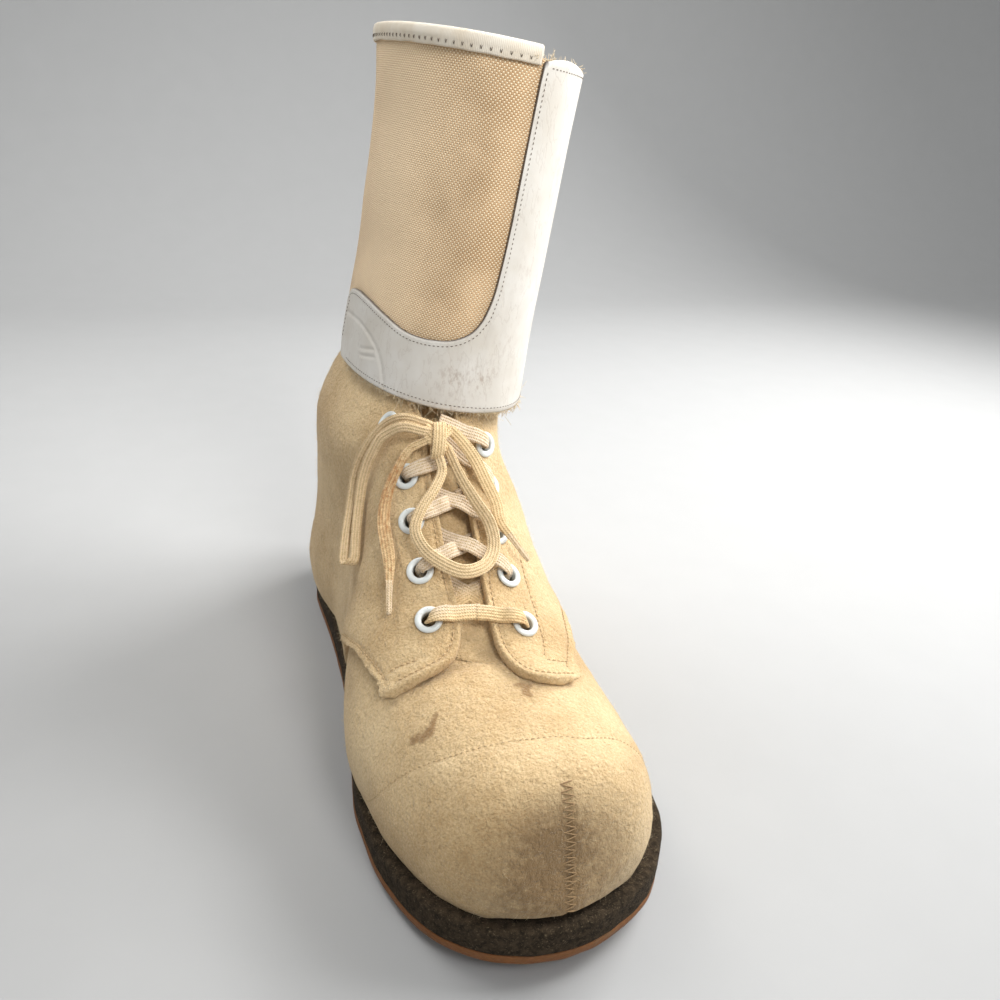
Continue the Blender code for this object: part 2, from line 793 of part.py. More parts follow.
def ribbon(name, rows, look):
    """A flat band along rows of (point, outward, heading, width)."""
    points = np.array([row[0] for row in rows])
    tangent = np.gradient(points, axis=0)
    rings, before = [], None
    for (point, outward, heading, width), way in zip(rows, tangent):
        flat = heading - (heading @ outward) * outward
        if np.linalg.norm(flat) > 0.2:
            side = np.cross(outward, flat)
            side /= np.linalg.norm(side)
            if before is not None and side @ before < 0:
                side = -side
        else:
            side = before
        before = side
        thick = np.cross(side, way)
        thick *= LACE_THICKNESS / 2 / np.linalg.norm(thick)
        side = side * width / 2
        corners = ((-1, -1), (1, -1), (1, 1), (-1, 1))
        rings.append([point + across * side + through * thick for across, through in corners])
    return loft(name, rings, look)


def make_lace():
    def spot(side, number):
        x, z = EYELETS[side][number - 1]
        return (x, z, side, EYELET_PLACES[side][number - 1])

    bar = (EYELETS["medial"][-1][1] + EYELETS["lateral"][-1][1]) / 2
    first = [(LACING_CENTRE + 1, bar, None, None), spot("medial", 5), spot("lateral", 4)]
    first += [spot("medial", 3), spot("lateral", 2), (-10, 143.2, None, None)]
    second = [(LACING_CENTRE - 1, bar, None, None), spot("lateral", 5), spot("medial", 4)]
    second += [spot("lateral", 3), spot("medial", 2), spot("lateral", 1), (-8.6, 147.4, None, None)]
    lace = ribbon("lace_crossings", lace_half(first), BRAIDED_COTTON)
    cut(lace, ribbon("other half", lace_half(second), None), "UNION")

    point, outward = on_facing(*KNOT_SPOT, KNOT_HEIGHT)
    side = np.cross([0, 0, 1], outward)
    side /= np.linalg.norm(side)
    up = np.cross(outward, side)
    wide, tall, deep = KNOT_HALF
    turned = np.arange(12) * np.pi / 6
    rings = []
    for level, scale in ((-1, 0.7), (-0.5, 1), (0.5, 1), (1, 0.7)):
        across = scale * wide * np.cos(turned)[:, None] * side
        rings.append(point + across + scale * tall * np.sin(turned)[:, None] * up + level * deep * outward)
    loft("lace_knot", rings, BRAIDED_COTTON)
    for name, path in HANGING.items():
        ends = [point + across * side + rise * up for across, rise in LEAVES[name]]
        middle = np.array(path, float) - (0, MIDDLE, 0)
        cord(name, np.array([ends[0], *middle, *ends[1:]]))


def cord(name, rows):
    """A round cord on a smooth path through rows of points."""
    length = np.append(0, np.cumsum(np.linalg.norm(np.diff(rows, axis=0), axis=1)))
    columns = dict(zip("length x y z".split(), np.column_stack([length, rows]).T))
    steps = np.linspace(0, length[-1], int(length[-1] / (2.8 * CORD)) + 2)
    points = np.stack([along(steps, columns, axis) for axis in "xyz"], -1) * MM
    curve = bpy.data.curves.new(name, "CURVE")
    curve.dimensions = "3D"
    curve.bevel_depth = CORD / 2 * MM
    curve.bevel_resolution = 2
    curve.use_fill_caps = True
    spline = curve.splines.new("POLY")
    spline.points.add(len(points) - 1)
    spline.points.foreach_set("co", np.column_stack([points, np.ones(len(points))]).ravel())
    add(name, curve, BRAIDED_COTTON)


# The cuff
def cuff(angle, height, over):
    """Points of the cuff's canvas at these angles and heights, this far over its outer face."""
    angle, height = np.broadcast_arrays(np.radians(angle), np.asarray(height, float))
    width = along(height, CUFF, "half_width") + over
    depth = along(height, CUFF, "half_depth") + over
    power = 2 / CUFF_SQUARENESS
    x = width * np.sign(np.sin(angle)) * np.abs(np.sin(angle)) ** power + along(height, CUFF, "shift")
    station = -depth * np.sign(np.cos(angle)) * np.abs(np.cos(angle)) ** power
    lean = np.radians(CUFF_LEAN)
    foot_x, foot_station, foot_z = CUFF_FOOT
    return np.stack(
        [
            foot_x + x * np.cos(lean) + height * np.sin(lean),
            foot_station - MIDDLE + station,
            foot_z - x * np.sin(lean) + height * np.cos(lean),
        ],
        -1,
    )


def cuff_layer(name, angles, heights, low, high, look, ring=False):
    """A layer over the canvas. Heights are a row for all the angles, or a column for each."""
    angles, heights = np.asarray(angles, float), np.asarray(heights, float)
    heights = heights if heights.ndim == 2 else heights[:, None]
    faces = [cuff(angles[None, :], heights, over) for over in (high, low)]
    return shell(name, *faces, ring, look)


def make_cuff():
    step = 360 / CUFF_STEPS
    all_round = np.arange(CUFF_STEPS) * step
    cuff_layer("cuff_canvas", all_round, CUFF_ROWS, -CANVAS, 0, CREAM_CANVAS, ring=True)

    front = np.arange(-LEATHER_BACK, LEATHER_BACK + 1, step)
    leather = cuff_layer("cuff_leather", front, LEATHER_ROWS, GAP, GAP + LEATHER, WHITE_LEATHER)
    angles = np.union1d(np.arange(-103.5, 104, 4.5), LEATHER_TOP["angle"])
    edge = along(angles, LEATHER_TOP, "height")
    above = cuff_layer("above the leather", angles, [edge, edge * 0 + 165], -8, 8, None)
    cut(leather, above)

    low, high = CUFF_TOP - BINDING_HEIGHT + TAPE, CUFF_TOP
    section = [(GAP, low), (GAP + TAPE, low), (GAP + TAPE, high + GAP + TAPE)]
    inside = -CANVAS - 2 * GAP
    section += [(inside - TAPE, high + GAP + TAPE), (inside - TAPE, low)]
    section += [(inside, low), (inside, high + GAP), (GAP, high + GAP)]
    first, last = BINDING_ENDS
    angles = np.concatenate([[first], np.arange(0, last, -step), [last]])
    rings = np.stack([cuff(angles, height, over) for over, height in section], 1)
    loft("cuff_binding", rings, COTTON_TAPE)


def make_straps():
    """The two straps run back from the leather, with their tips narrowed, each with its buckle."""
    over = surface_tree(cuff(np.arange(0, 360, 9)[None, :], np.array(CUFF_ROWS)[:, None], GAP + LEATHER))
    for name, height in STRAPS.items():
        half = np.full(len(STRAP_ANGLES), STRAP_WIDTH / 2)
        half[-1] = STRAP_WIDTH / 4
        heights = [height - half, half * 0 + height, height + half]
        cuff_layer(name, STRAP_ANGLES, heights, GAP, GAP + LEATHER, WHITE_LEATHER)
        point = cuff(BUCKLE_ANGLE, height, GAP + LEATHER)
        across = cuff(BUCKLE_ANGLE + 1, height, 0) - cuff(BUCKLE_ANGLE - 1, height, 0)
        up = cuff(BUCKLE_ANGLE, height + 1, 0) - cuff(BUCKLE_ANGLE, height - 1, 0)
        outward = np.cross(across, up)
        outward /= np.linalg.norm(outward)
        wide, tall, deep = BUCKLE
        place = seat(point, outward, over, wide, tall)
        make_buckle(name.replace("strap", "buckle"), place, wide, tall, deep)


def block(name, place, middle, size, look):
    """A box in a place's own axes: across, up and outward."""
    corners = np.array([(-1, -1), (1, -1), (1, 1), (-1, 1)]) / 2 * size[:2] + middle[:2]
    rings = []
    for level in (-0.5, 0.5):
        depth = np.full((4, 1), middle[2] + level * size[2])
        rings.append(np.hstack([corners, depth]) @ place["axes"] + place["point"])
    return loft(name, rings, look)


def make_buckle(name, place, wide, tall, deep):
    """A frame with a middle bar, and a prong from the bar to the frame."""
    frame = block(name, place, (0, 0, deep / 2), (wide, tall, deep), BLACK_STEEL)
    window = (wide - 3 * BUCKLE_BAR) / 2
    for side in (-1, 1):
        middle = (side * (window + BUCKLE_BAR) / 2, 0, deep / 2)
        size = (window, tall - 2 * BUCKLE_BAR, deep * 3)
        cut(frame, block(f"{name} window {side}", place, middle, size, None))
    prong = (wide / 4 + 0.5, 0, deep + 0.3), (wide / 2 + 1, 2.4, 2)
    cut(frame, block(name + " prong", place, *prong, None), "UNION")


for old in list(bpy.data.objects):
    bpy.data.objects.remove(old)
PARTS, CUTTERS = collection("mukluk"), collection("cutters")
CREAM_FELT = material("cream_felt", (0.72, 0.53, 0.29), 0.95)
FLECKED_FELT = material("flecked_felt", (0.09, 0.07, 0.05), 0.95)
INSOLE_FELT = material("insole_felt", (0.42, 0.38, 0.32), 0.95)
AMBER_RUBBER = material("amber_rubber", (0.42, 0.17, 0.03), 0.5)
ENAMELLED_STEEL = material("enamelled_steel", (0.66, 0.7, 0.67), 0.35)
BRAIDED_COTTON = material("braided_cotton", (0.75, 0.56, 0.29), 0.9)
CREAM_CANVAS = material("cream_canvas", (0.6, 0.45, 0.28), 0.9)
WHITE_LEATHER = material("white_leather", (0.74, 0.71, 0.66), 0.5)
COTTON_TAPE = material("cotton_tape", (0.74, 0.62, 0.46), 0.85)
BLACK_STEEL = material("black_steel", (0.02, 0.02, 0.022), 0.4, 1.0)

SKIN, OUTWARD = skin_grid()
FACING_TREE = surface_tree(SKIN + (GAP + FELT) * OUTWARD)
EYELET_PLACES = eyelet_places()
make_soles()
make_insole(SKIN)
make_upper(SKIN, OUTWARD)
make_tongue(SKIN, OUTWARD)
make_quarters(SKIN, OUTWARD)
make_eyelets()
make_lace()
make_cuff()
make_straps()
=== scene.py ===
"""Looks of a felt mukluk boot for the left foot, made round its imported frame.

Lengths are in millimetres until a mesh is made. The toe points to -Y and +X is the outer (lateral)
side. A station is the distance back from the tip of the sole."""

import bpy
import numpy as np
from mathutils import Euler, Matrix, Vector, noise
from mathutils.bvhtree import BVHTree
from mathutils.kdtree import KDTree


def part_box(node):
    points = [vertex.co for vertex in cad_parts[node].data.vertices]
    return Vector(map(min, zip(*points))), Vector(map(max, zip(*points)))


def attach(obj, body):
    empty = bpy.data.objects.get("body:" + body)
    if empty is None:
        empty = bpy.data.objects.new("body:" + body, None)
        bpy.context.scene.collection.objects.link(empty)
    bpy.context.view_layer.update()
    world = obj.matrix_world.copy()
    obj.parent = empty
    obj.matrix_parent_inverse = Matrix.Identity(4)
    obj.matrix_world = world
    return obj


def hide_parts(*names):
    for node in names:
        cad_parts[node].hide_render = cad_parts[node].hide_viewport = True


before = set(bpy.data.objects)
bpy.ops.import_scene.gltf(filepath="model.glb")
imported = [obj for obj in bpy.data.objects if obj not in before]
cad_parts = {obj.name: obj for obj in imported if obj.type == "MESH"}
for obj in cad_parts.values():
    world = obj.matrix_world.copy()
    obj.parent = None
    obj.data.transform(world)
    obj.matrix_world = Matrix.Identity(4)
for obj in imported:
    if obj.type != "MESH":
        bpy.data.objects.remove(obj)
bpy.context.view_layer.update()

MM = 0.001
# The gap left between pieces that touch.
GAP = 0.3
SOLE_LENGTH = 316.0
OUTSOLE_THICKNESS = 4.0
MIDSOLE_THICKNESS = 12.0
INSOLE_THICKNESS = 4.0
FELT = 4.5
TONGUE_FELT = 3.0
TOE_SPRING = 10.0
SPRING_BACK_TO = 95.0
# The height at which the upper meets the sole.
FEATHER = OUTSOLE_THICKNESS + MIDSOLE_THICKNESS
MIDDLE = SOLE_LENGTH / 2
RANDOM = np.random.default_rng(7)

# Camera: where it stands, how it is turned, and how far it is swung about its own upright so that
# the boot is in the middle.
EYE = (-127.0, -350.5, 292.0)
EYE_TURN = 12.0
EYE_DIP = 25.6
EYE_SWING = 9.9
LENS = 33.0
SENSOR = 36.0

# The lights: where each stands and what it is aimed at in metres, its size, power and spread.
LIGHTS = {
    "key": ((0.75, -0.1, 0.85), (0, 0, 0.16), 0.4, 8.8, 180),
    "back": ((0.8, 0.35, 0.7), (0, 0, 0.16), 0.4, 8.6, 180),
    "top": ((-0.35, 0.45, 0.9), (0, 0, 0.15), 0.5, 4.2, 180),
    "fill": ((0.1, -0.6, 0.75), (0, 0.08, 0.27), 0.3, 0.7, 60),
    "wall": ((-0.1, 0.3, 1.9), (1.1, 1.3, 1.2), 0.6, 3.5, 90),
}
SKY = (0.96, 0.98, 1, 1)
SKY_STRENGTH = 0.52
# The floor in metres: half its width, its front and where it starts to curve up, the curve's radius
# and the height of the wall behind it.
FLOOR_HALF = 4
FLOOR_FRONT, FLOOR_BACK = -3.0, 0.8
FLOOR_CURVE = 0.5
WALL_HEIGHT = 4.0


def add_object(name, data):
    """A new object in the scene."""
    made = bpy.data.objects.new(name, data)
    bpy.context.scene.collection.objects.link(made)
    return made


def make_camera():
    """The camera at the angle that the looks are made for."""
    data = bpy.data.cameras.new("camera")
    data.lens = LENS
    data.sensor_width = SENSOR
    data.clip_start = 0.01
    camera = add_object("camera", data)
    turned = Euler((np.radians(90 - EYE_DIP), 0, -np.radians(EYE_TURN))).to_matrix()
    camera.rotation_euler = (turned @ Matrix.Rotation(-np.radians(EYE_SWING), 3, "Y")).to_euler()
    camera.location = Vector(EYE) * MM
    bpy.context.scene.camera = camera


def make_light(name, place, aim, size, power, spread):
    """A square area light."""
    data = bpy.data.lights.new(name, "AREA")
    data.size = size
    data.energy = power
    data.spread = np.radians(spread)
    light = add_object(name, data)
    light.location = place
    light.rotation_euler = (Vector(aim) - Vector(place)).to_track_quat("-Z", "Y").to_euler()


def make_studio():
    """A pale floor that curves up behind the boot, soft lights and an even sky."""
    for name, settings in LIGHTS.items():
        make_light(name, *settings)
    world = bpy.data.worlds.new("studio")
    world.use_nodes = True
    sky = world.node_tree.nodes["Background"].inputs
    sky["Color"].default_value = SKY
    sky["Strength"].default_value = SKY_STRENGTH
    bpy.context.scene.world = world
    bpy.context.scene.view_settings.view_transform = "Standard"

    bend = np.linspace(0.1, np.pi / 2, 12)
    bent = FLOOR_BACK + FLOOR_CURVE * np.sin(bend)
    depth = np.concatenate([[FLOOR_FRONT, FLOOR_BACK], bent, [FLOOR_BACK + FLOOR_CURVE]])
    height = np.concatenate([[0, 0], FLOOR_CURVE - FLOOR_CURVE * np.cos(bend), [WALL_HEIGHT]])
    rows = [[(x, y, z) for x in (-FLOOR_HALF, FLOOR_HALF)] for y, z in zip(depth, height)]
    points = np.array(rows).reshape(-1, 3) / MM
    mesh = new_mesh("floor", points, grid_faces(len(rows), 2, False)[:, ::-1])
    mesh.materials.append(paper_look())
    mesh.shade_smooth()
    add_object("floor", mesh)


# Curves and tables
def table(names, rows):
    """Columns by name. The first column is what the others are worked out from."""
    return dict(zip(names.split(), np.array(rows, float).T))


def hermite(t, apart, start, end, slope, slope_after):
    """A smooth curve from start to end, with the slope at each, at the share t of the way."""
    return (
        (1 + 2 * t) * (1 - t) ** 2 * start
        + t * (1 - t) ** 2 * apart * slope
        + t * t * (3 - 2 * t) * end
        + t * t * (t - 1) * apart * slope_after
    )


def along(value, rows, name):
    """The named column at this value of the first column, on a smooth curve that doesn't overshoot."""
    x, y = list(rows.values())[0], rows[name]
    value = np.asarray(value, float)
    step = np.diff(x)
    rise = np.diff(y) / step
    turns = rise[:-1] * rise[1:] <= 0
    before, after = np.where(turns, 1.0, rise[:-1]), np.where(turns, 1.0, rise[1:])
    weight_a, weight_b = 2 * step[1:] + step[:-1], step[1:] + 2 * step[:-1]
    inner = (weight_a + weight_b) / (weight_a / before + weight_b / after)
    slope = np.concatenate([rise[:1], np.where(turns, 0.0, inner), rise[-1:]])
    i = np.clip(np.searchsorted(x, value, side="right") - 1, 0, len(x) - 2)
    t = np.clip((value - x[i]) / step[i], 0, 1)
    return hermite(t, step[i], y[i], y[i + 1], slope[i], slope[i + 1])


def smoothstep(value, low, high):
    t = np.clip((np.asarray(value, float) - low) / (high - low), 0, 1)
    return t * t * (3 - 2 * t)


def lengths(rows):
    """The distance along a line of points to each of them."""
    return np.append(0, np.cumsum(np.linalg.norm(np.diff(rows[:, :3], axis=0), axis=1)))


def spline(rows, step):
    """Rows of points, and of anything after their coordinates, on a smooth curve about every step."""
    rows = np.asarray(rows, float)
    at = lengths(rows)
    apart = np.diff(at)[:, None]
    rise = np.diff(rows, axis=0) / apart
    inner = (rise[:-1] * apart[1:] + rise[1:] * apart[:-1]) / (apart[1:] + apart[:-1])
    slope = np.concatenate([rise[:1], inner, rise[-1:]])
    where = np.linspace(0, at[-1], max(2, int(at[-1] / step) + 1))
    i = np.clip(np.searchsorted(at, where, side="right") - 1, 0, len(at) - 2)
    t = ((where - at[i]) / apart[i, 0])[:, None]
    return hermite(t, apart[i], rows[i], rows[i + 1], slope[i], slope[i + 1])


def flat_spline(rows, step):
    """A smooth curve through rows of two numbers, about every step."""
    return spline([(a, b, 0) for a, b in rows], step)[:, :2]


def read_at(where, at, rows):
    """Rows of three numbers, known at these distances along a line, read at other distances."""
    return np.stack([np.interp(where, at, rows[:, i]) for i in range(3)], -1)


def beside(line, distance):
    """An open line in two columns moved to its left by a distance."""
    line = np.asarray(line, float)
    way = np.gradient(line, axis=0)
    way /= np.linalg.norm(way, axis=1, keepdims=True)
    return line + distance * np.stack([-way[:, 1], way[:, 0]], -1)


def unit(vectors):
    return vectors / np.maximum(np.linalg.norm(vectors, axis=-1, keepdims=True), 1e-9)


# The sole's outline and the last, as in the part's source
def turn(station):
    return np.arccos(np.clip(1 - 2 * np.asarray(station, float) / SOLE_LENGTH, -1, 1))


SOLE = table(
    "station middle half",
    [
        (0, -4.0, 0),
        (4.7, -4.5, 21.2),
        (14.4, -2.3, 36.9),
        (29, -0.9, 48.7),
        (48, 1.3, 57.0),
        (70, 1.6, 60.6),
        (92, 1.5, 60.8),
        (130, 2.5, 56.0),
        (175, 3.0, 49.0),
        (225, 2.5, 45.0),
        (270, 1.5, 43.5),
        (300, 0.5, 31.0),
        (SOLE_LENGTH, 0, 0),
    ],
)
SOLE_BY_TURN = {"turn": turn(SOLE["station"]), "middle": SOLE["middle"], "half": SOLE["half"]}
FOOT_TIP = 3.5
FOOT = table(
    "station ridge_height ridge_x medial_ledge lateral_ledge squareness widest",
    [
        (3.5, 26, -6, 3, 5, 2.2, 10),
        (6.5, 35, -6, 3, 5, 2.2, 11),
        (10.5, 45, -5.5, 3, 5, 2.2, 12),
        (14.5, 55, -5, 2.5, 5, 2.2, 12),
        (19, 63, -5, 2.5, 5, 2.2, 12),
        (25, 69, -4.5, 2.5, 5, 2.2, 12),
        (34, 72.5, -4.5, 2.5, 6.5, 2.2, 13),
        (45, 73.5, -4.5, 2, 9.5, 2.15, 15),
        (70, 75, -6, 0.5, 11.5, 2.1, 18),
        (90, 77.5, -8, -1, 11, 2.05, 20),
        (107, 87, -8, -3, 10.5, 1.9, 20),
        (126, 101.5, -9, -4, 11, 1.75, 22),
        (141, 117, -10, -2, 11, 1.75, 22),
        (156, 133, -10, 1, 10, 1.75, 20),
        (170, 150, -10, 4, 8, 1.8, 16),
        (200, 130, -5, 6, 6, 2.0, 12),
        (240, 80, -1, 6, 6, 2.0, 12),
        (SOLE_LENGTH, 45, 0, 6, 6, 2.0, 12),
    ],
)
TUCK = 3.0
LEDGE_SCALE = 60.0
SHAFT = table(
    "height middle half front back",
    [
        (16, 0, 37, 215, 307),
        (40, 0, 39.5, 205, 310.5),
        (70, 0, 38.5, 192, 308),
        (100, -1.5, 38, 183, 301),
        (125, -3, 37.5, 174, 296),
        (145, 0, 34, 172, 291),
        (153, 3.5, 32.7, 171.2, 289),
        (160, 6.0, 32.2, 171.2, 288.8),
        (172, 7.4, 32.2, 171.2, 288.8),
        (190, 8, 32.2, 171.2, 288.8),
    ],
)
SHAFT_SQUARENESS = 2.15
BLEND = 12.0
BLEND_FADES = (138, 156)
SHEETS = table(
    "v front front_rise back_rise",
    [
        (0, 6, 0, 0),
        (0.1, 8, 10, 5),
        (0.25, 14, 28, 12),
        (0.38, 30, 40, 20),
        (0.5, 60, 42, 28),
        (0.6, 88, 42, 34),
        (0.72, 112, 50, 52),
        (0.85, 140, 40, 88),
        (1, 168, 0, 154),
        (1.1, 172, 0, 166),
    ],
)
SHEET_CENTRE = table("v x", [(0, -4), (0.5, -5), (0.8, -9), (1.0, -7), (1.1, -6)])
SHEET_FALL = 45.0
# The back of the curved sheets that the skin's rings lie in, how far it leans forward, how far out
# each is searched for the skin, and in how many halvings.
SHEET_BACK, SHEET_LEAN = 308, 10
SHEET_REACH = 90
HALVINGS = 22
LACING_CENTRE = -7.5
LACE_ROOM = 2.9
INSIDE_STATION = 235
# Where the layer under the facings is sunk: the distances from the lacing's centre and the stations
# between which it comes and goes.
SUNK_BESIDE, SUNK_FROM, SUNK_TO = (26, 34), (84, 94), (200, 215)
# The stations between which the rounding of the toe fades, and how many rounds of it there are.
TOE_ROUNDED = (7, 15)
TOE_ROUNDS = 40


def sole_edge(station):
    """(middle, half width) of the sole's outline."""
    angle = turn(station)
    return along(angle, SOLE_BY_TURN, "middle"), along(angle, SOLE_BY_TURN, "half")


def spring(station):
    """How far the sole is lifted off the floor by its toe spring."""
    return TOE_SPRING * np.clip(1 - np.asarray(station, float) / SPRING_BACK_TO, 0, None) ** 2


def foot_field(x, station, z):
    """Negative inside the foot of the last, 0 on it, and near a distance in mm round it."""
    spread = np.clip((station - FOOT_TIP) * SOLE_LENGTH / (SOLE_LENGTH - 2 * FOOT_TIP), 0, SOLE_LENGTH)
    middle, half = sole_edge(spread)
    medial = middle - half * (1 - along(station, FOOT, "medial_ledge") / LEDGE_SCALE)
    lateral = middle + half * (1 - along(station, FOOT, "lateral_ledge") / LEDGE_SCALE)
    ridge = np.clip(
        along(station, FOOT, "ridge_x"),
        0.65 * medial + 0.35 * lateral,
        0.35 * medial + 0.65 * lateral,
    )
    side = np.where(x < ridge, ridge - medial, lateral - ridge)
    widest = FEATHER + spring(station) + along(station, FOOT, "widest")
    top = np.maximum(along(station, FOOT, "ridge_height"), widest + 0.001)
    above = np.clip((z - widest) / (top - widest), 0, None)
    below = np.clip((widest - z) / along(station, FOOT, "widest"), 0, None)
    across = np.abs(x - ridge) / np.maximum(side - TUCK * below**2, 0.001)
    power = along(station, FOOT, "squareness")
    ratio = (across**power + above**power) ** (1 / power)
    outside = (station < FOOT_TIP) | (station > SOLE_LENGTH - FOOT_TIP)
    return np.where(outside, MIDDLE, (ratio - 1) * np.minimum(side, 45.0))


def shaft_field(x, station, z):
    """Negative inside the heel and shaft of the last."""
    middle, half, front, back = (along(z, SHAFT, n) for n in ("middle", "half", "front", "back"))
    across = np.abs((x - middle) / half) ** SHAFT_SQUARENESS
    deep = np.abs((station - (front + back) / 2) / ((back - front) / 2)) ** SHAFT_SQUARENESS
    return ((across + deep) ** (1 / SHAFT_SQUARENESS) - 1) * half


def last_field(x, station, z):
    """Foot and shaft, with a fillet between them."""
    foot, shaft = foot_field(x, station, z), shaft_field(x, station, z)
    blend = BLEND * (1 - 0.9 * smoothstep(z, *BLEND_FADES))
    near = np.clip(blend - np.abs(foot - shaft), 0, None) / blend
    return np.minimum(foot, shaft) - near * near * blend / 4


def skin(u, v):
    """Points of the last's skin: u goes round from the heel by the medial side, v up from the sole."""
    u, v = np.broadcast_arrays(np.asarray(u, float), np.asarray(v, float))
    front, back = along(v, SHEETS, "front"), SHEET_BACK - SHEET_LEAN * v
    centre, reach = (front + back) / 2, (back - front) / 2 * 1.8
    base = along(v, SHEETS, "back_rise")
    lift, centre_x = along(v, SHEETS, "front_rise"), along(v, SHEET_CENTRE, "x")
    low, high = np.zeros(u.shape), np.ones(u.shape)
    for _ in range(HALVINGS):
        part = (low + high) / 2
        x = centre_x - SHEET_REACH * part * np.sin(2 * np.pi * u)
        station = centre + reach * part * np.cos(2 * np.pi * u)
        z = FEATHER + GAP + spring(station) + base
        z = z + lift * np.exp(-np.clip(station - front, 0, None) / SHEET_FALL)
        within = last_field(x, station, z) < 0
        low, high = np.where(within, part, low), np.where(within, high, part)
    return np.stack([x, station - MIDDLE, z], -1)


def outward_at(points):
    """The outward directions of the last at these points."""
    x, y, z = np.moveaxis(np.asarray(points, float), -1, 0)
    value = []
    for dx, dy, dz in np.eye(3) * 0.5:
        ahead = last_field(x + dx, y + dy + MIDDLE, z + dz)
        value.append(ahead - last_field(x - dx, y - dy + MIDDLE, z - dz))
    return unit(np.stack(value, -1))


def rounded_toe(points):
    """The skin's grid of points with the flat end of its toe rounded off."""
    for _ in range(TOE_ROUNDS):
        near = 1 - smoothstep(points[..., 1:2] + MIDDLE, *TOE_ROUNDED)
        beside_it = np.roll(points, 1, 1) + np.roll(points, -1, 1)
        rows = np.concatenate([points[:1], points, points[-1:]])
        points = points + near * 0.5 * ((beside_it + rows[:-2] + rows[2:]) / 4 - points)
    return points


def ring_directions(points):
    """The outward directions of a grid of rings."""
    round_ways = np.roll(points, -1, 1) - np.roll(points, 1, 1)
    return unit(np.cross(round_ways, np.gradient(points, axis=0)))


def sink(points):
    """How far the layer under the facings lies below the skin, to leave the lace its room."""
    x, station = points[..., 0], points[..., 1] + MIDDLE
    across = 1 - smoothstep(np.abs(x - LACING_CENTRE), *SUNK_BESIDE)
    return LACE_ROOM * across * smoothstep(station, *SUNK_FROM) * (1 - smoothstep(station, *SUNK_TO))


def layer(points, outward, low, high):
    """The two faces of a layer between these heights over the skin, flat where it meets the sole."""
    faces = []
    for height in (high, low):
        face = points + np.broadcast_to(height, points.shape[:2])[..., None] * outward
        face[0, :, 2] = points[0, :, 2]
        face[..., 2] = np.maximum(face[..., 2], FEATHER + GAP + spring(face[..., 1] + MIDDLE))
        faces.append(face)
    return faces


# Meshes
def new_mesh(name, points, *groups):
    """A mesh from points in millimetres and arrays of faces, each with one number of corners."""
    mesh = bpy.data.meshes.new(name)
    groups = [np.asarray(group, np.int32) for group in groups if len(group)]
    corners = np.concatenate([group.ravel() for group in groups])
    counts = np.concatenate([np.full(len(group), group.shape[1]) for group in groups])
    mesh.vertices.add(len(points))
    mesh.loops.add(len(corners))
    mesh.polygons.add(len(counts))
    mesh.vertices.foreach_set("co", (np.asarray(points) * MM).astype(np.float32).ravel())
    mesh.loops.foreach_set("vertex_index", corners)
    mesh.polygons.foreach_set("loop_start", (np.cumsum(counts) - counts).astype(np.int32))
    mesh.update(calc_edges=True)
    return mesh


def points_of(mesh):
    points = np.empty(len(mesh.vertices) * 3, np.float32)
    mesh.vertices.foreach_get("co", points)
    return points.reshape(-1, 3).astype(float) / MM


def move_points(mesh, points):
    mesh.vertices.foreach_set("co", (points * MM).astype(np.float32).ravel())
    mesh.update()


def normals_of(mesh):
    normals = np.empty(len(mesh.vertices) * 3, np.float32)
    mesh.vertex_normals.foreach_get("vector", normals)
    return normals.reshape(-1, 3)


def paint(mesh, name, values):
    """A number, or three, at each vertex, for the material to read."""
    values = np.asarray(values, np.float32)
    if values.ndim == 1:
        mesh.attributes.new(name, "FLOAT", "POINT").data.foreach_set("value", values)
    else:
        mesh.attributes.new(name, "FLOAT_VECTOR", "POINT").data.foreach_set("vector", values.ravel())


def grid_faces(rows, columns, ring):
    """The quads of a grid of points. A ring's columns run right round it."""
    index = np.arange(rows * columns).reshape(rows, columns)
    wide = np.concatenate([index, index[:, :1]], 1) if ring else index
    return np.stack([wide[:-1, :-1], wide[:-1, 1:], wide[1:, 1:], wide[1:, :-1]], -1).reshape(-1, 4)


def tube_faces(rings, around, closed=False):
    """(quads, caps) of rings of points, one after the other. If closed, the last ring meets the first."""
    quads = grid_faces(rings + closed, around, True) % (rings * around)
    if closed:
        return quads, np.zeros((0, around), int)
    index = np.arange(rings * around).reshape(rings, around)
    return quads, np.array([index[0, ::-1], index[-1]])


def joined(parts):
    """Parts of points, quads, caps and perhaps more, each kind in one array."""
    starts = np.cumsum([0] + [len(part[0]) for part in parts])
    moved = [(part[0], part[1] + start, part[2] + start, *part[3:]) for part, start in zip(parts, starts)]
    return [np.concatenate(kind) for kind in zip(*moved)]


def ringed_mesh(name, rings):
    """A closed mesh of rings, one over the other. Its caps run from side to side."""
    count, around = rings.shape[:2]
    index = np.arange(count * around).reshape(count, around)
    heel = around // 2
    triangles, quads = [], []
    for ring, way in ((index[0], -1), (index[-1], 1)):
        left, right = ring[1:heel], ring[:heel:-1]
        ends = [(ring[0], left[0], right[0]), (left[-1], ring[heel], right[-1])]
        triangles += [end[::way] for end in ends]
        quads.append(np.stack([left[:-1], left[1:], right[1:], right[:-1]], -1)[:, ::way])
    sides = grid_faces(count, around, True)
    return new_mesh(name, rings.reshape(-1, 3), sides, *quads, np.array(triangles))


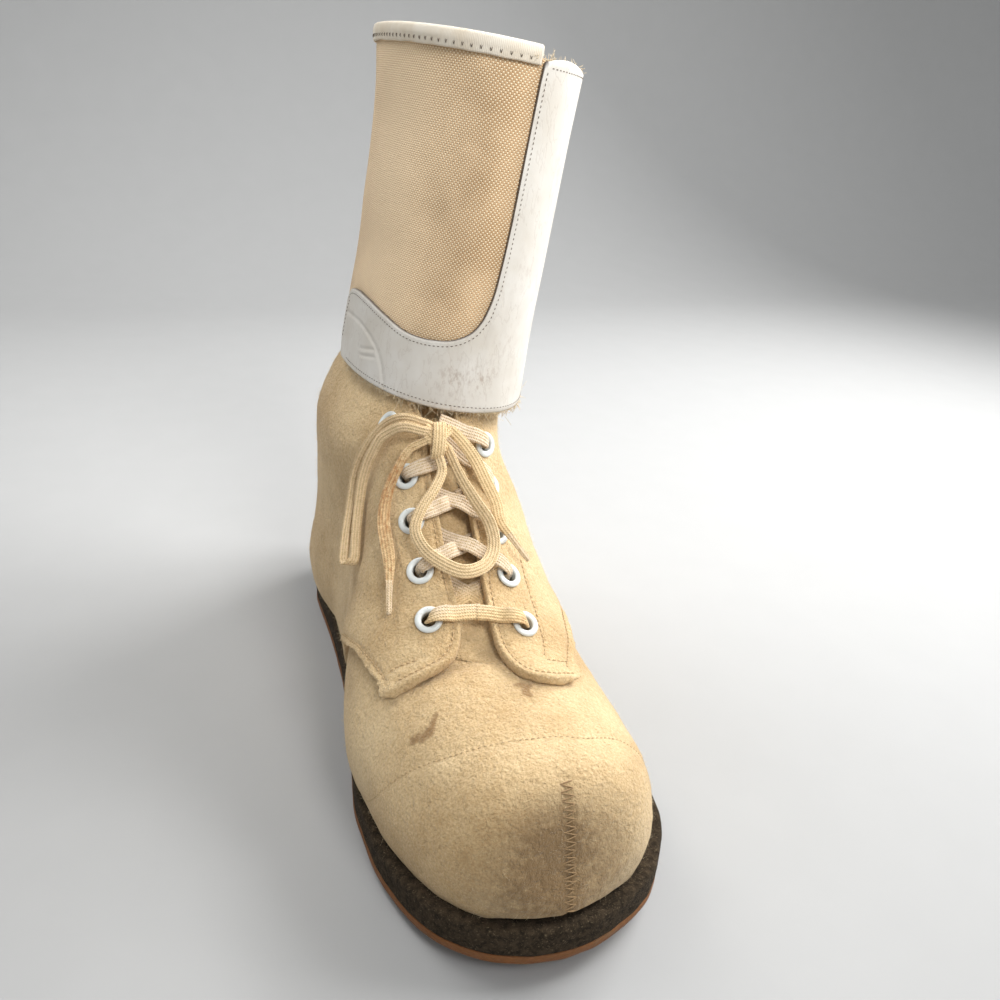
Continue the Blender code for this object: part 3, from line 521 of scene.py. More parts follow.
def shell(outer, inner, ring):
    """(points, quads) of a wall between two grids of points."""
    rows, columns = outer.shape[:2]
    quads = grid_faces(rows, columns, ring)
    count = rows * columns
    index = np.arange(count).reshape(rows, columns)
    wide = np.concatenate([index, index[:, :1]], 1) if ring else index
    edges = [wide[0, ::-1], wide[-1]]
    if not ring:
        edges += [wide[:, 0], wide[::-1, -1]]
    rims = []
    for edge in edges:
        a, b = edge[:-1], edge[1:]
        rims.append(np.stack([a, b, b + count, a + count], -1))
    points = np.concatenate([outer.reshape(-1, 3), inner.reshape(-1, 3)])
    return points, np.concatenate([quads, quads[:, ::-1] + count, *rims])


def piece(name, mesh, look, slot, *stands_for):
    """A piece of the boot that stands for its CAD nodes."""
    obj = add_object(name, mesh)
    mesh.materials.clear()
    mesh.materials.append(look)
    mesh.shade_smooth()
    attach(obj, "root")
    if stands_for:
        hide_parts(*stands_for)
    return obj


def prism(outline, low, high, upright):
    """A closed mesh over an outline: in plan, (x, station), or from the side, (station, z)."""
    outline = np.asarray(outline, float)
    rings = []
    for level in (low, high):
        filled = np.full(len(outline), float(level))
        if upright:
            rings.append(np.stack([outline[:, 0], outline[:, 1] - MIDDLE, filled], -1))
        else:
            rings.append(np.stack([filled, outline[:, 0] - MIDDLE, outline[:, 1]], -1))
    sides, caps = tube_faces(2, len(outline))
    after = np.roll(outline, -1, 0)
    area = np.sum(outline[:, 0] * after[:, 1] - after[:, 0] * outline[:, 1])
    if area < 0:
        sides, caps = sides[:, ::-1], caps[:, ::-1]
    return new_mesh("cutter", np.concatenate(rings), sides, caps)


def shaped(mesh, cuts, voxel=None, softening=0):
    """A mesh after its cuts, rows of (operation, cutter), and then, given a voxel size, made anew in small
    even faces.
    """
    obj = add_object("shaped", mesh)
    helpers = [obj]
    for operation, cutter in cuts:
        modifier = obj.modifiers.new("cut", "BOOLEAN")
        modifier.operation = operation
        modifier.solver = "MANIFOLD"
        modifier.object = add_object("cutter", cutter)
        helpers.append(modifier.object)
    if voxel:
        remesh = obj.modifiers.new("remesh", "REMESH")
        remesh.mode = "VOXEL"
        remesh.voxel_size = voxel * MM
        smooth = obj.modifiers.new("smooth", "SMOOTH")
        smooth.iterations = softening
    graph = bpy.context.evaluated_depsgraph_get()
    made = bpy.data.meshes.new_from_object(obj.evaluated_get(graph))
    for helper in helpers:
        bpy.data.objects.remove(helper)
    return made


def tree_of(points, quads):
    return BVHTree.FromPolygons(points.tolist(), quads.tolist())


def tubes(lines, outward, radius, sides):
    """(points, quads, caps) of a closed tube along each of some lines, (lines, points, 3)."""
    count, steps = lines.shape[:2]
    tangent = unit(np.gradient(lines, axis=1))
    across = unit(np.cross(outward, tangent))
    over = np.cross(tangent, across)
    angle = np.arange(sides) * 2 * np.pi / sides
    radius = np.broadcast_to(radius, (count, steps))[..., None, None]
    spread = np.cos(angle)[:, None] * across[:, :, None] + np.sin(angle)[:, None] * over[:, :, None]
    points = lines[:, :, None] + radius * spread
    index = np.arange(count * steps * sides).reshape(count, steps, sides)
    after = np.roll(index, -1, 2)
    quads = np.stack([index[:, :-1], after[:, :-1], after[:, 1:], index[:, 1:]], -1)
    caps = np.concatenate([index[:, 0, ::-1], index[:, -1]])
    return points.reshape(-1, 3), quads.reshape(-1, 4), caps


# Materials
CANVAS_PITCH = 0.85


def node(tree, kind, inputs=(), out=0, **settings):
    """A new node's output. inputs gives each socket, by name or number, a value or another output."""
    made = tree.nodes.new("ShaderNode" + kind)
    for name, value in settings.items():
        setattr(made, name, value)
    for key, value in dict(inputs).items():
        if isinstance(value, bpy.types.NodeSocket):
            tree.links.new(value, made.inputs[key])
        else:
            made.inputs[key].default_value = value
    return made.outputs[out]


def sums(tree, operation, a, b=0.0, c=0.0):
    return node(tree, "Math", {0: a, 1: b, 2: c}, operation=operation)


def times(tree, a, b):
    return sums(tree, "MULTIPLY", a, b)


def scaled(tree, value, share, more):
    """The value times a share, and more."""
    return sums(tree, "MULTIPLY_ADD", value, share, more)


def mixed(tree, part, a, b):
    """Colour a where part is 0, and b where it is 1."""
    a, b = ((*x, 1) if isinstance(x, tuple) else x for x in (a, b))
    return node(tree, "Mix", {0: part, 6: a, 7: b}, out=2, data_type="RGBA")


def shade(colour, share):
    return tuple(share * c for c in colour)


def spots(tree, scale, detail, roughness=0.5, stretch=(1, 1, 1)):
    """Noise in the boot's own space. Its scale is the size of a spot in mm."""
    place = node(tree, "TexCoord", out=3)
    if stretch != (1, 1, 1):
        place = node(tree, "Mapping", {0: place, 3: stretch})
    inputs = {"Vector": place, "Scale": 1 / (scale * MM), "Detail": detail, "Roughness": roughness}
    return node(tree, "TexNoise", inputs)


def between(tree, value, low, high):
    """0 at low, 1 at high and a straight line between."""
    return node(tree, "MapRange", {0: value, 1: low, 2: high}, clamp=True)


def painted(tree, name, out=2):
    """What paint() stored: a number, or with out=1 a vector."""
    return node(tree, "Attribute", out=out, attribute_name=name)


def cloth_lengths(tree):
    """The painted lengths along a cloth and across it."""
    return node(tree, "SeparateXYZ", {0: painted(tree, "cloth", 1)}).node.outputs[:2]


def bumped(tree, height, distance, strength, under=None):
    """A bump of this depth in mm, over the bump under it."""
    inputs = {"Height": height, "Distance": distance * MM, "Strength": strength}
    if under is not None:
        inputs["Normal"] = under
    return node(tree, "Bump", inputs)


def look(name, roughness, **uniform):
    """A material and its node tree. uniform sets its shader's sockets."""
    made = bpy.data.materials.new(name)
    made.use_nodes = True
    sockets = made.node_tree.nodes["Principled BSDF"].inputs
    sockets["Roughness"].default_value = roughness
    for key, value in uniform.items():
        sockets[key.replace("_", " ")].default_value = value
    return made, made.node_tree


def finish(made, colour, bump=None, roughness=None):
    """The material, with these outputs linked to its shader."""
    sockets = made.node_tree.nodes["Principled BSDF"].inputs
    for name, value in (("Base Color", colour), ("Normal", bump), ("Roughness", roughness)):
        if value is not None:
            made.node_tree.links.new(value, sockets[name])
    return made


def paper_look():
    """The pale floor, faintly uneven."""
    made, tree = look("pale_paper", 0.9)
    colour = mixed(tree, spots(tree, 30, 3), (0.42, 0.42, 0.415), (0.44, 0.44, 0.435))
    return finish(made, colour)


def felt_look():
    """Thick wool felt: fine matted fibres, soft mottling, dirt and painted shade over the lower toe, small
    stains, and painted shade in the pits between pills.
    """
    sheen = {"Sheen_Weight": 0.25, "Sheen_Roughness": 0.45, "Sheen_Tint": (1, 0.93, 0.8, 1)}
    made, tree = look("cream_felt", 0.95, **sheen)
    deep, pale = (0.52, 0.335, 0.15), (0.83, 0.63, 0.36)
    fibre = spots(tree, 0.9, 3, 0.65)
    fleece = spots(tree, 3.2, 3, 0.6)
    cloud = spots(tree, 38, 3, 0.6)
    share = scaled(tree, fibre, 0.9, scaled(tree, cloud, 0.9, -0.45))
    colour = mixed(tree, between(tree, share, 0.22, 0.72), deep, pale)
    dirt = times(tree, painted(tree, "dirt"), between(tree, fleece, 0.3, 0.62))
    # The painted dirt holds real dirt, and painted shade over the lower toe and in the toe seam's holes.
    dirt_and_shade_haze = scaled(tree, painted(tree, "dirt"), 0.75, times(tree, dirt, 0.5))
    colour = mixed(tree, sums(tree, "MINIMUM", dirt_and_shade_haze, 0.9), colour, (0.21, 0.125, 0.052))
    edge = scaled(tree, fleece, 0.9, painted(tree, "stain"))
    colour = mixed(tree, between(tree, edge, 0.9, 1.25), colour, (0.33, 0.195, 0.08))
    pills = spots(tree, 1.9, 4, 0.7)
    # Painted shade in the pits between the pills, which the bump also sinks.
    pit_shade = between(tree, pills, 0.42, 0.3)
    colour = mixed(tree, times(tree, pit_shade, 0.4), colour, shade(deep, 0.6))
    bump = bumped(tree, pills, 1.5, 0.9, bumped(tree, fleece, 1.6, 0.8))
    return finish(made, colour, bumped(tree, fibre, 0.5, 0.8, bump))


def flecked_look():
    """Hard grey-brown felt with pale fibres in it."""
    made, tree = look("flecked_felt", 1.0, Specular_IOR_Level=0.15)
    fibre = spots(tree, 0.8, 3, 0.7)
    fleece = spots(tree, 2.6, 3, 0.65)
    colour = mixed(tree, between(tree, fleece, 0.35, 0.65), (0.018, 0.013, 0.008), (0.058, 0.041, 0.025))
    colour = mixed(tree, between(tree, fibre, 0.58, 0.76), colour, (0.19, 0.145, 0.09))
    bump = bumped(tree, fleece, 0.8, 0.6)
    return finish(made, colour, bumped(tree, fibre, 0.5, 0.9, bump))


def insole_look():
    """Plain grey felt."""
    made, tree = look("insole_felt", 0.95)
    pale = (0.42, 0.38, 0.32)
    fibre = spots(tree, 1.0, 3, 0.6)
    colour = mixed(tree, fibre, shade(pale, 0.7), pale)
    return finish(made, colour, bumped(tree, fibre, 0.5, 0.6))


def rubber_look():
    """Amber crepe rubber with a crinkled face."""
    soft = {"Subsurface_Weight": 0.15, "Subsurface_Scale": 0.004, "Subsurface_Radius": (1.0, 0.4, 0.1)}
    made, tree = look("amber_rubber", 0.5, **soft)
    crinkle = spots(tree, 2.2, 3, 0.7, (1, 1, 2))
    dust = spots(tree, 9, 3)
    colour = mixed(tree, crinkle, (0.1, 0.033, 0.005), (0.27, 0.1, 0.018))
    colour = mixed(tree, between(tree, dust, 0.55, 0.85), colour, (0.15, 0.1, 0.055))
    return finish(made, colour, bumped(tree, crinkle, 0.7, 0.7), between(tree, dust, -0.6, 1.1))


def weave(tree, pitch):
    """(height, parity) of a plain weave. Parity is 1 where the weft is on top."""
    phases = [times(tree, length, np.pi / pitch) for length in cloth_lengths(tree)]
    waves = [sums(tree, "SINE", phase) for phase in phases]
    crossing = times(tree, *waves)
    return sums(tree, "ABSOLUTE", crossing), between(tree, crossing, -0.25, 0.35)


def canvas_look():
    """Coarse cotton canvas with pale floats over brown, and soft brown stains."""
    made, tree = look("cream_canvas", 0.92, Sheen_Weight=0.1)
    height, parity = weave(tree, CANVAS_PITCH)
    yarn = spots(tree, 0.5, 2)
    cloud = spots(tree, 26, 3)
    deep = mixed(tree, between(tree, cloud, 0.4, 0.66), (0.74, 0.49, 0.27), (0.56, 0.345, 0.17))
    raised = times(tree, parity, between(tree, height, 0.1, 0.55))
    faded = mixed(tree, painted(tree, "faded"), deep, (0.95, 0.7, 0.43))
    colour = mixed(tree, raised, faded, (1.0, 0.84, 0.58))
    grime = times(tree, painted(tree, "dirt"), between(tree, cloud, 0.25, 0.7))
    colour = mixed(tree, times(tree, grime, 0.6), colour, (0.16, 0.1, 0.05))
    bump = bumped(tree, height, 0.35, 0.8)
    return finish(made, colour, bumped(tree, yarn, 0.1, 0.5, bump))


def leather_look():
    """Off-white split leather: fine grain, faint wrinkles with painted shade along them, scuffs, and a dark
    raw edge with painted shade where it stands over the canvas.
    """
    made, tree = look("white_leather", 0.55, Specular_IOR_Level=0.4)
    grain = spots(tree, 0.55, 2, 0.6)
    cloud = spots(tree, 22, 3, 0.6)
    wrinkle = spots(tree, 9, 4, 0.6, (1, 1, 0.35))
    crack = between(tree, sums(tree, "ABSOLUTE", sums(tree, "SUBTRACT", wrinkle, 0.5)), 0.0, 0.02)
    nap = spots(tree, 2.0, 4, 0.7, (1, 1, 0.5))
    colour = mixed(tree, between(tree, cloud, 0.3, 0.7), (0.7, 0.672, 0.62), (0.61, 0.568, 0.5))
    scuff = times(tree, painted(tree, "scuff"), between(tree, nap, 0.5, 0.64))
    colour = mixed(tree, times(tree, scuff, 0.7), colour, (0.33, 0.24, 0.19))
    # Painted shade along the wrinkles' lines.
    crease_shade = times(tree, sums(tree, "SUBTRACT", 1.0, crack), 0.22)
    colour = mixed(tree, crease_shade, colour, (0.42, 0.35, 0.29))
    # The raw mark: the dark raw edge, with painted shade where the leather stands over the canvas.
    colour = mixed(tree, painted(tree, "raw"), colour, (0.085, 0.065, 0.055))
    bump = bumped(tree, crack, 0.12, 0.35)
    rough = scaled(tree, cloud, 0.25, 0.42)
    return finish(made, colour, bumped(tree, grain, 0.08, 0.5, bump), rough)


def tape_look():
    """Fine cotton tape, ribbed across."""
    made, tree = look("cotton_tape", 0.88)
    ribs = sums(tree, "SINE", times(tree, cloth_lengths(tree)[0], np.pi / 0.35))
    cloud = spots(tree, 12, 3)
    colour = mixed(tree, between(tree, cloud, 0.35, 0.7), (0.85, 0.785, 0.67), (0.73, 0.625, 0.475))
    colour = mixed(tree, scaled(tree, ribs, 0.1, 0.1), colour, (0.4, 0.29, 0.17))
    return finish(made, colour, bumped(tree, ribs, 0.08, 0.5))


def braid_look():
    """Flat braided cotton lace: ribs of chevrons along it, painted shade in the grooves, and brown where it
    is stained.
    """
    made, tree = look("braided_cotton", 0.9, Sheen_Weight=0.15)
    length, width = cloth_lengths(tree)
    zigzag = sums(tree, "PINGPONG", width, 0.65)
    phase = scaled(tree, length, 1 / 1.1, times(tree, zigzag, 1.1))
    strand = sums(tree, "SINE", times(tree, phase, 2 * np.pi))
    column = sums(tree, "COSINE", times(tree, width, 2 * np.pi / 1.3))
    height = scaled(tree, strand, 0.4, times(tree, column, 0.6))
    grain = spots(tree, 1.3, 3, 0.75)
    ribbed = scaled(tree, grain, 5.0, sums(tree, "SUBTRACT", height, 2.5))
    pale = mixed(tree, painted(tree, "pale"), (0.84, 0.61, 0.32), (0.8, 0.65, 0.48))
    # Painted shade in the grooves between the ribs.
    colour = mixed(tree, between(tree, ribbed, 0.7, -1.5), pale, (0.52, 0.35, 0.16))
    stain = scaled(tree, spots(tree, 1.6, 3), 1.0, painted(tree, "stain"))
    colour = mixed(tree, between(tree, stain, 0.85, 1.3), colour, (0.42, 0.19, 0.06))
    bump = bumped(tree, height, 0.3, 0.9)
    return finish(made, colour, bumped(tree, grain, 0.1, 0.5, bump))


def thread_look(name, colour):
    """Thread or fibre, lighter and darker along it."""
    made, tree = look(name, 0.8)
    return finish(made, mixed(tree, spots(tree, 0.6, 2), shade(colour, 0.65), colour))


def enamel_look():
    """Grey-white enamel on steel, chipped to metal in small spots."""
    made, tree = look("enamelled_steel", 0.32, Coat_Weight=0.25, Coat_Roughness=0.2)
    chip = between(tree, spots(tree, 1.4, 3, 0.6), 0.66, 0.7)
    cloud = spots(tree, 5, 2)
    colour = mixed(tree, cloud, (0.58, 0.61, 0.59), (0.75, 0.77, 0.74))
    colour = mixed(tree, times(tree, chip, 0.7), colour, (0.3, 0.29, 0.27))
    return finish(made, colour, bumped(tree, chip, -0.1, 0.4))


def steel_look():
    """Black lacquer over steel, worn bright in places."""
    made, tree = look("black_steel", 0.35, Metallic=1.0)
    worn = between(tree, spots(tree, 2.5, 4, 0.7), 0.62, 0.72)
    colour = mixed(tree, worn, (0.02, 0.02, 0.022), (0.32, 0.31, 0.3))
    return finish(made, colour, bumped(tree, worn, -0.05, 0.3))


# Felt
ROUND = 300
UP = np.unique(np.concatenate([np.linspace(0, 0.12, 14), np.linspace(0.12, 1, 116)]))
FELT_VOXEL = 1.0
# Cutters reach from inside the boot to above it, and to both its sides.
OVER_ALL = 210
BESIDE_ALL = 90
# How far an eyelet's hole is cut below its facing's face and above it.
HOLE_REACH = 3
# The uneven hollows in felt: (size, depth).
HOLLOWS = [(24, 0.55), (9, 0.22), (4.5, 0.16)]

# The throat of the upper and the outlines of its quarters: (x, station) in plan, and (station, z)
# for the lower edges, seen from the side.
THROAT = [
    (-27.5, 100),
    (-17.7, 94),
    (0, 84),
    (12.5, 80),
    (12.5, 150),
    (7, 170),
    (7, 205),
    (-22, 205),
    (-22, 170),
    (-27.5, 150),
]
SIGN = {"medial": -1, "lateral": 1}
FACING = {"medial": -14.6, "lateral": -0.4}
CURVE = {
    "medial": [
        *((-14.6, 106), (-15.8, 99.5), (-18.3, 94), (-22, 90.2)),
        *((-27.5, 88), (-34, 87.3), (-42, 88), (-51, 90.4)),
    ],
    "lateral": [
        *((-0.4, 130), (-1.6, 112), (-2.6, 101), (-2.8, 93.5), (-2.2, 86.5), (-0.6, 79.7)),
        *((2.6, 74.8), (7.5, 71.6), (15, 70.4), (23, 71.8), (31, 74.4)),
    ],
}
# The station at which each curve runs out at the side.
CURVE_OUT = {"medial": 89, "lateral": 74.4}
EDGE = {
    "medial": [
        *((84, 64), (90, 65.4), (97, 67.8), (106, 68.8), (115, 68.7)),
        *((126, 66.5), (150, 54), (168, 36), (178, 18), (181, 8)),
    ],
    "lateral": [
        *((68, 71.8), (75, 72.2), (86, 71), (95, 71.6), (106, 72.6), (117, 71.2)),
        *((131, 65.5), (152, 51), (170, 34), (180, 18), (183, 8)),
    ],
}
# Where the row of stitches along each curve starts and ends: its station, and its distance to the side.
SEAM_LIMITS = {"medial": (103, 49.5), "lateral": (112, 30.5)}
SEAM_IN = 3.0

# Dirt on the felt round the toe seam and at the facings, and painted shade over the lower front of the toe
# (the broad third spot): a spot's place, its reach to each side and how dark it is.
DIRT_AND_SHADE = table(
    "x station z reach_x reach_y reach_z amount",
    [
        (-8, 15, 57, 18, 15, 13, 0.58),
        (-15, 9, 45, 21, 15, 16, 0.46),
        (-4, 5, 30, 34, 14, 17, 0.5),
        (15, 12, 46, 17, 16, 16, 0.28),
        (-30, 10, 34, 20, 16, 18, 0.15),
        (-36, 66, 64, 5, 6, 5, 0.2),
        (2, 70, 75, 8, 6, 5, 0.18),
        (-30, 110, 96, 14, 30, 40, 0.1),
    ],
)
# Small brown stains, each from one (x, station, z) to another, with its half width and strength.
STAINS = [
    ((-34.6, 70, 69.4), (-37.4, 66.6, 67.6), 2.1, 0.86),
    ((-38.5, 65.6, 67), (-41.6, 65, 64.8), 3.2, 0.95),
    ((-42, 66.3, 64.5), (-44.5, 66.8, 62.6), 2.7, 0.97),
    ((-1.4, 72.7, 75.1), (3.4, 71.4, 74.9), 2.3, 1.05),
    ((0.7, 67.7, 74.7), (1.5, 66.5, 74.6), 2.2, 1.0),
    ((12.6, 21.3, 63), (12.7, 21.3, 63), 1.2, 0.6),
    ((30.4, 24.6, 56), (30.5, 24.6, 56), 0.8, 0.5),
    ((-28, 60, 71), (-12, 52, 73), 1.2, 0.32),
]
# Soft creases in the felt: from one (x, station, z) to another, half width and depth.
CREASES = [
    ((-44, 150, 92), (-30, 170, 106), 5, 0.9),
    ((-40, 128, 86), (-47, 160, 72), 7, 0.8),
    ((30, 120, 84), (36, 150, 70), 6, 0.7),
    ((26, 82, 71), (42, 104, 56), 5, 0.7),
    ((-52, 96, 52), (-48, 130, 40), 8, 0.7),
    ((-37, 290, 120), (38, 290, 112), 7, 0.9),
    ((-30, 298, 98), (34, 298, 92), 6, 0.7),
]


def segment_distance(points, start, end):
    """How far points are from the line between two places given as (x, station, z)."""
    start = np.array(start, float) - (0, MIDDLE, 0)
    way = np.array(end, float) - (0, MIDDLE, 0) - start
    share = np.clip((points - start) @ way / max(way @ way, 1e-9), 0, 1)
    return np.linalg.norm(points - start - share[:, None] * way, axis=1)


def felt_hollows(points):
    """How far felt is pressed in by its creases and its own unevenness."""
    flat = points.reshape(-1, 3)
    depth = np.zeros(len(flat))
    for start, end, width, deep in CREASES:
        depth += deep * np.exp(-((segment_distance(flat, start, end) / width) ** 2))
    for size, deep in HOLLOWS:
        depth += [deep * noise.noise(Vector(p) / size) for p in flat.tolist()]
    return depth.reshape(points.shape[:-1])


def distances(points, line):
    """How far each point is from the nearest point of a dense line."""
    tree = KDTree(len(line))
    for i, place in enumerate(line.tolist()):
        tree.insert(place, i)
    tree.balance()
    return np.array([tree.find(p)[2] for p in points.tolist()])


def paint_felt(mesh, zigzag=None):
    """Dirt, painted shade and stains on a felt mesh, by where each of its points is, and painted shade in
    the holes beside its zigzag and along it.
    """
    points = points_of(mesh)
    dirt = np.zeros(len(points))
    # Spots of dirt, and the broad painted shade low on the front of the toe.
    for x, station, z, *reach, amount in zip(*DIRT_AND_SHADE.values()):
        away = (points - (x, station - MIDDLE, z)) / reach
        dirt += amount * np.exp(-np.sum(away * away, axis=1))
    if zigzag is not None:
        # Painted shade in the stitch holes on each side of the toe seam and in its groove.
        away = distances(points, zigzag)
        dirt += 0.14 * np.exp(-(((away - 2.7) / 0.8) ** 2)) + 0.1 * np.exp(-((away / 0.8) ** 2))
    stain = np.zeros(len(points))
    for start, end, width, amount in STAINS:
        away = segment_distance(points, start, end)
        stain = np.maximum(stain, amount * np.exp(-((away / width) ** 2)))
    paint(mesh, "dirt", dirt)
    paint(mesh, "stain", stain)


def press_seams(mesh, seams, depth=0.8, width=1.15):
    """Pulls a felt mesh in along its rows of stitches."""
    points = points_of(mesh)
    pressed = depth * np.exp(-((distances(points, np.concatenate(seams)) / width) ** 2))
    move_points(mesh, points - pressed[:, None] * normals_of(mesh))


def from_front(x, z, tree):
    """The surface point at this x and z, seen from the front."""
    return tree.ray_cast(Vector((x, INSIDE_STATION - MIDDLE, z)), Vector((0, -1, 0)))[0]


def from_above(x, station, tree):
    return tree.ray_cast(Vector((x, station - MIDDLE, 250)), Vector((0, 0, -1)))[0]


def from_side(side, station, z, tree):
    return tree.ray_cast(Vector((side * 150, station - MIDDLE, z)), Vector((-side, 0, 0)))[0]


def nearest_on(points, tree):
    """The nearest point of a surface to each of some points."""
    return np.array([tree.find_nearest(Vector(p))[0] for p in points.tolist()])


def settled(line, tree):
    """A smooth line through points, laid on a surface."""
    return nearest_on(spline(line, 0.5), tree)


def quarter_outline(side):
    """The outline of a quarter in plan, and of what is cut away under it, from the side."""
    sign, edge = SIGN[side], EDGE[side]
    out = sign * BESIDE_ALL
    plan = [(FACING[side], 205), *flat_spline(CURVE[side], 1.5), (out, CURVE_OUT[side])]
    plan += [(out, 330), (sign * GAP, 330), (sign * GAP, 260)]
    return plan, [(edge[0][0], -5), *flat_spline(edge, 2), (edge[-1][0], -5)]


def edge_seam(side, tree, inward):
    """The row of stitches inside a quarter's facing and bottom, this far in."""
    facing = FACING[side] + SIGN[side] * inward
    top = [from_front(facing, z, tree) for z in np.arange(156, 99, -4)]
    inside = beside(flat_spline(CURVE[side], 2), SIGN[side] * inward)
    first, reach = SEAM_LIMITS[side]
    inside = inside[inside[:, 1] < first]
    keep = np.abs(inside[:, 0]) < reach - inward
    return top + [from_above(x, s, tree) for x, s in inside[keep]]


def lower_seam(side, tree, inward):
    """The row of stitches along a quarter's lower edge."""
    edge = EDGE[side]
    inside = beside(flat_spline(edge[1:], 3), inward)
    inside = inside[(inside[:, 0] > edge[1][0] + inward) & (inside[:, 1] > 19)]
    return [from_side(SIGN[side], s, z, tree) for s, z in inside]


QUARTER_SEAMS = {
    "medial": [
        [(-46.7, 97.2, 72.3), (-43.6, 96.9, 74.7), (-40.1, 95.8, 76.4), (-33.1, 94.3, 79.3)],
        [(-3.8, 315, 40), (-3.8, 314, 80), (-3.8, 306, 120), (-3.8, 299, 152)],
    ],
    "lateral": [
        [(21.6, 129.9, 98.4), (21, 113.9, 88.6), (19.6, 100, 83), (18.3, 91, 79.3), (14.6, 82.2, 78.6)],
        [(14.6, 82, 78.6), (20.2, 82, 76.8), (27.7, 84.2, 73.6)],
        [(3.8, 315, 40), (3.8, 314, 80), (3.8, 306, 120), (3.8, 299, 152)],
    ],
}
VAMP_SEAM = [
    (-60.5, 84, 20),
    (-59.5, 77, 27),
    (-58.4, 70.5, 34.3),
    (-47.5, 57.3, 57.5),
    (-34.6, 50.6, 66.7),
    (-19.3, 46.7, 72.1),
    (0, 43.3, 73.3),
    (15, 41.4, 70.9),
    (27.2, 43.4, 66.1),
    (38.6, 44.1, 57.2),
    (47, 47, 43),
    (51.5, 51, 28),
    (52, 54, 20),
]
TONGUE_SEAM = [(-24, 97.5, 79), (-17.7, 94, 78.2), (-9, 88.8, 77.3), (0.1, 83.9, 76.1), (8, 81, 75.5)]
TOE_SEAM = [
    (-1.2, 25.5, 69),
    (-2, 20, 64.5),
    (-2.6, 16, 58),
    (-3.2, 12.3, 50),
    (-3.8, 8.3, 40),
    (-4.7, 4, 30),
    (-5, 3.4, 20.5),
]


def at_stations(rows):
    """Rows of (x, station, z) as points."""
    return [(x, station - MIDDLE, z) for x, station, z in rows]


class Felt:
    """The felt layers of the last's skin, and the surfaces that other pieces lie on."""

    def __init__(self):
        self.points = rounded_toe(skin(np.arange(ROUND)[None, :] / ROUND, UP[:, None]))
        self.outward = ring_directions(self.points)
        self.quads = grid_faces(len(UP), ROUND, True)
        self.hollows = felt_hollows(self.points)
        outer = self.points + (GAP + FELT) * self.outward
        self.facing = tree_of(outer.reshape(-1, 3), self.quads)
        pressed = outer - self.hollows[..., None] * self.outward
        self.quarter = tree_of(pressed.reshape(-1, 3), self.quads)
        down = sink(self.points) + self.hollows
        self.upper = tree_of((self.points - down[..., None] * self.outward).reshape(-1, 3), self.quads)


def make_upper(felt):
    """The felt upper, with its seams over the vamp and down the toe, which are returned."""
    down = sink(felt.points) + felt.hollows
    outer, inner = layer(felt.points, felt.outward, -FELT - down, -down)
    mesh = new_mesh("upper", *shell(outer, inner, True))
    mesh = shaped(mesh, [("DIFFERENCE", prism(THROAT, 50, OVER_ALL, True))])
    seams = [settled(at_stations(row), felt.upper) for row in (VAMP_SEAM, TOE_SEAM)]
    press_seams(mesh, seams, 0.6, 1.5)
    paint_felt(mesh, seams[1])
    piece("felt_upper", mesh, CREAM_FELT, "cream_felt", "upper")
    mesh.set_sharp_from_angle(angle=np.radians(50))
    return seams


def make_tongue(felt):
    """The felt that fills the throat."""
    rows = UP >= 0.45
    columns = slice(ROUND // 4, 3 * ROUND // 4 + 1)
    points, outward = felt.points[rows, columns], felt.outward[rows, columns]
    down = (sink(points) + felt.hollows[rows, columns])[..., None]
    outer, inner = points - down * outward, points - (down + TONGUE_FELT) * outward
    outline = np.array(THROAT, float)
    middle = outline.mean(0)
    outline = middle + (outline - middle) * (1 - 2 * GAP / 35)
    mesh = new_mesh("tongue", *shell(outer, inner, False))
    mesh = shaped(mesh, [("INTERSECT", prism(outline, 50, OVER_ALL, True))], FELT_VOXEL, 2)
    paint_felt(mesh)
    piece("felt_tongue", mesh, CREAM_FELT, "cream_felt", "tongue")


def make_quarters(felt, eyelets):
    """The two laced quarters, with their edges softened, holes for the eyelets and rows of stitches."""
    outer, inner = layer(felt.points, felt.outward, GAP - felt.hollows, GAP + FELT - felt.hollows)
    rows = []
    for side in ("medial", "lateral"):
        plan, edge = quarter_outline(side)
        cuts = [("INTERSECT", prism(plan, 5, OVER_ALL, True))]
        cuts.append(("DIFFERENCE", prism(edge, -BESIDE_ALL, BESIDE_ALL, False)))
        for place in eyelets[side]:
            hole = cylinder(place, HOLE_RADIUS, -FELT - HOLE_REACH, HOLE_REACH)
            cuts.append(("DIFFERENCE", hole))
        mesh = new_mesh("quarter", *shell(outer, inner, True))
        mesh = shaped(mesh, cuts, FELT_VOXEL, 1)
        seams = [edge_seam(side, felt.quarter, SEAM_IN), lower_seam(side, felt.quarter, SEAM_IN)]
        seams += [at_stations(row) for row in QUARTER_SEAMS[side]]
        seams = [settled(seam, felt.quarter) for seam in seams]
        press_seams(mesh, seams)
        paint_felt(mesh)
        piece("felt_quarter_" + side, mesh, CREAM_FELT, "cream_felt", "quarter_" + side)
        rows += seams
    return rows


# Stitches
STITCH_STEPS = 5


def stitches(line, pitch, share, radius, rise, lift, outward=None):
    """The lines of a row of stitches along a dense line of points, and the way out at their points.
    share is how much of the pitch shows, and rise is how far the thread's middle arches."""
    outward = outward_at(line) if outward is None else outward
    at = lengths(line)
    starts = np.arange(pitch / 2, at[-1] - pitch, pitch)
    where = starts[:, None] + np.linspace(0, share * pitch, STITCH_STEPS)
    points = read_at(where, at, line)
    ways = unit(read_at(where, at, outward))
    arch = np.sin(np.linspace(0, np.pi, STITCH_STEPS)) * (rise + radius) - radius + lift
    return points + arch[None, :, None] * ways, ways


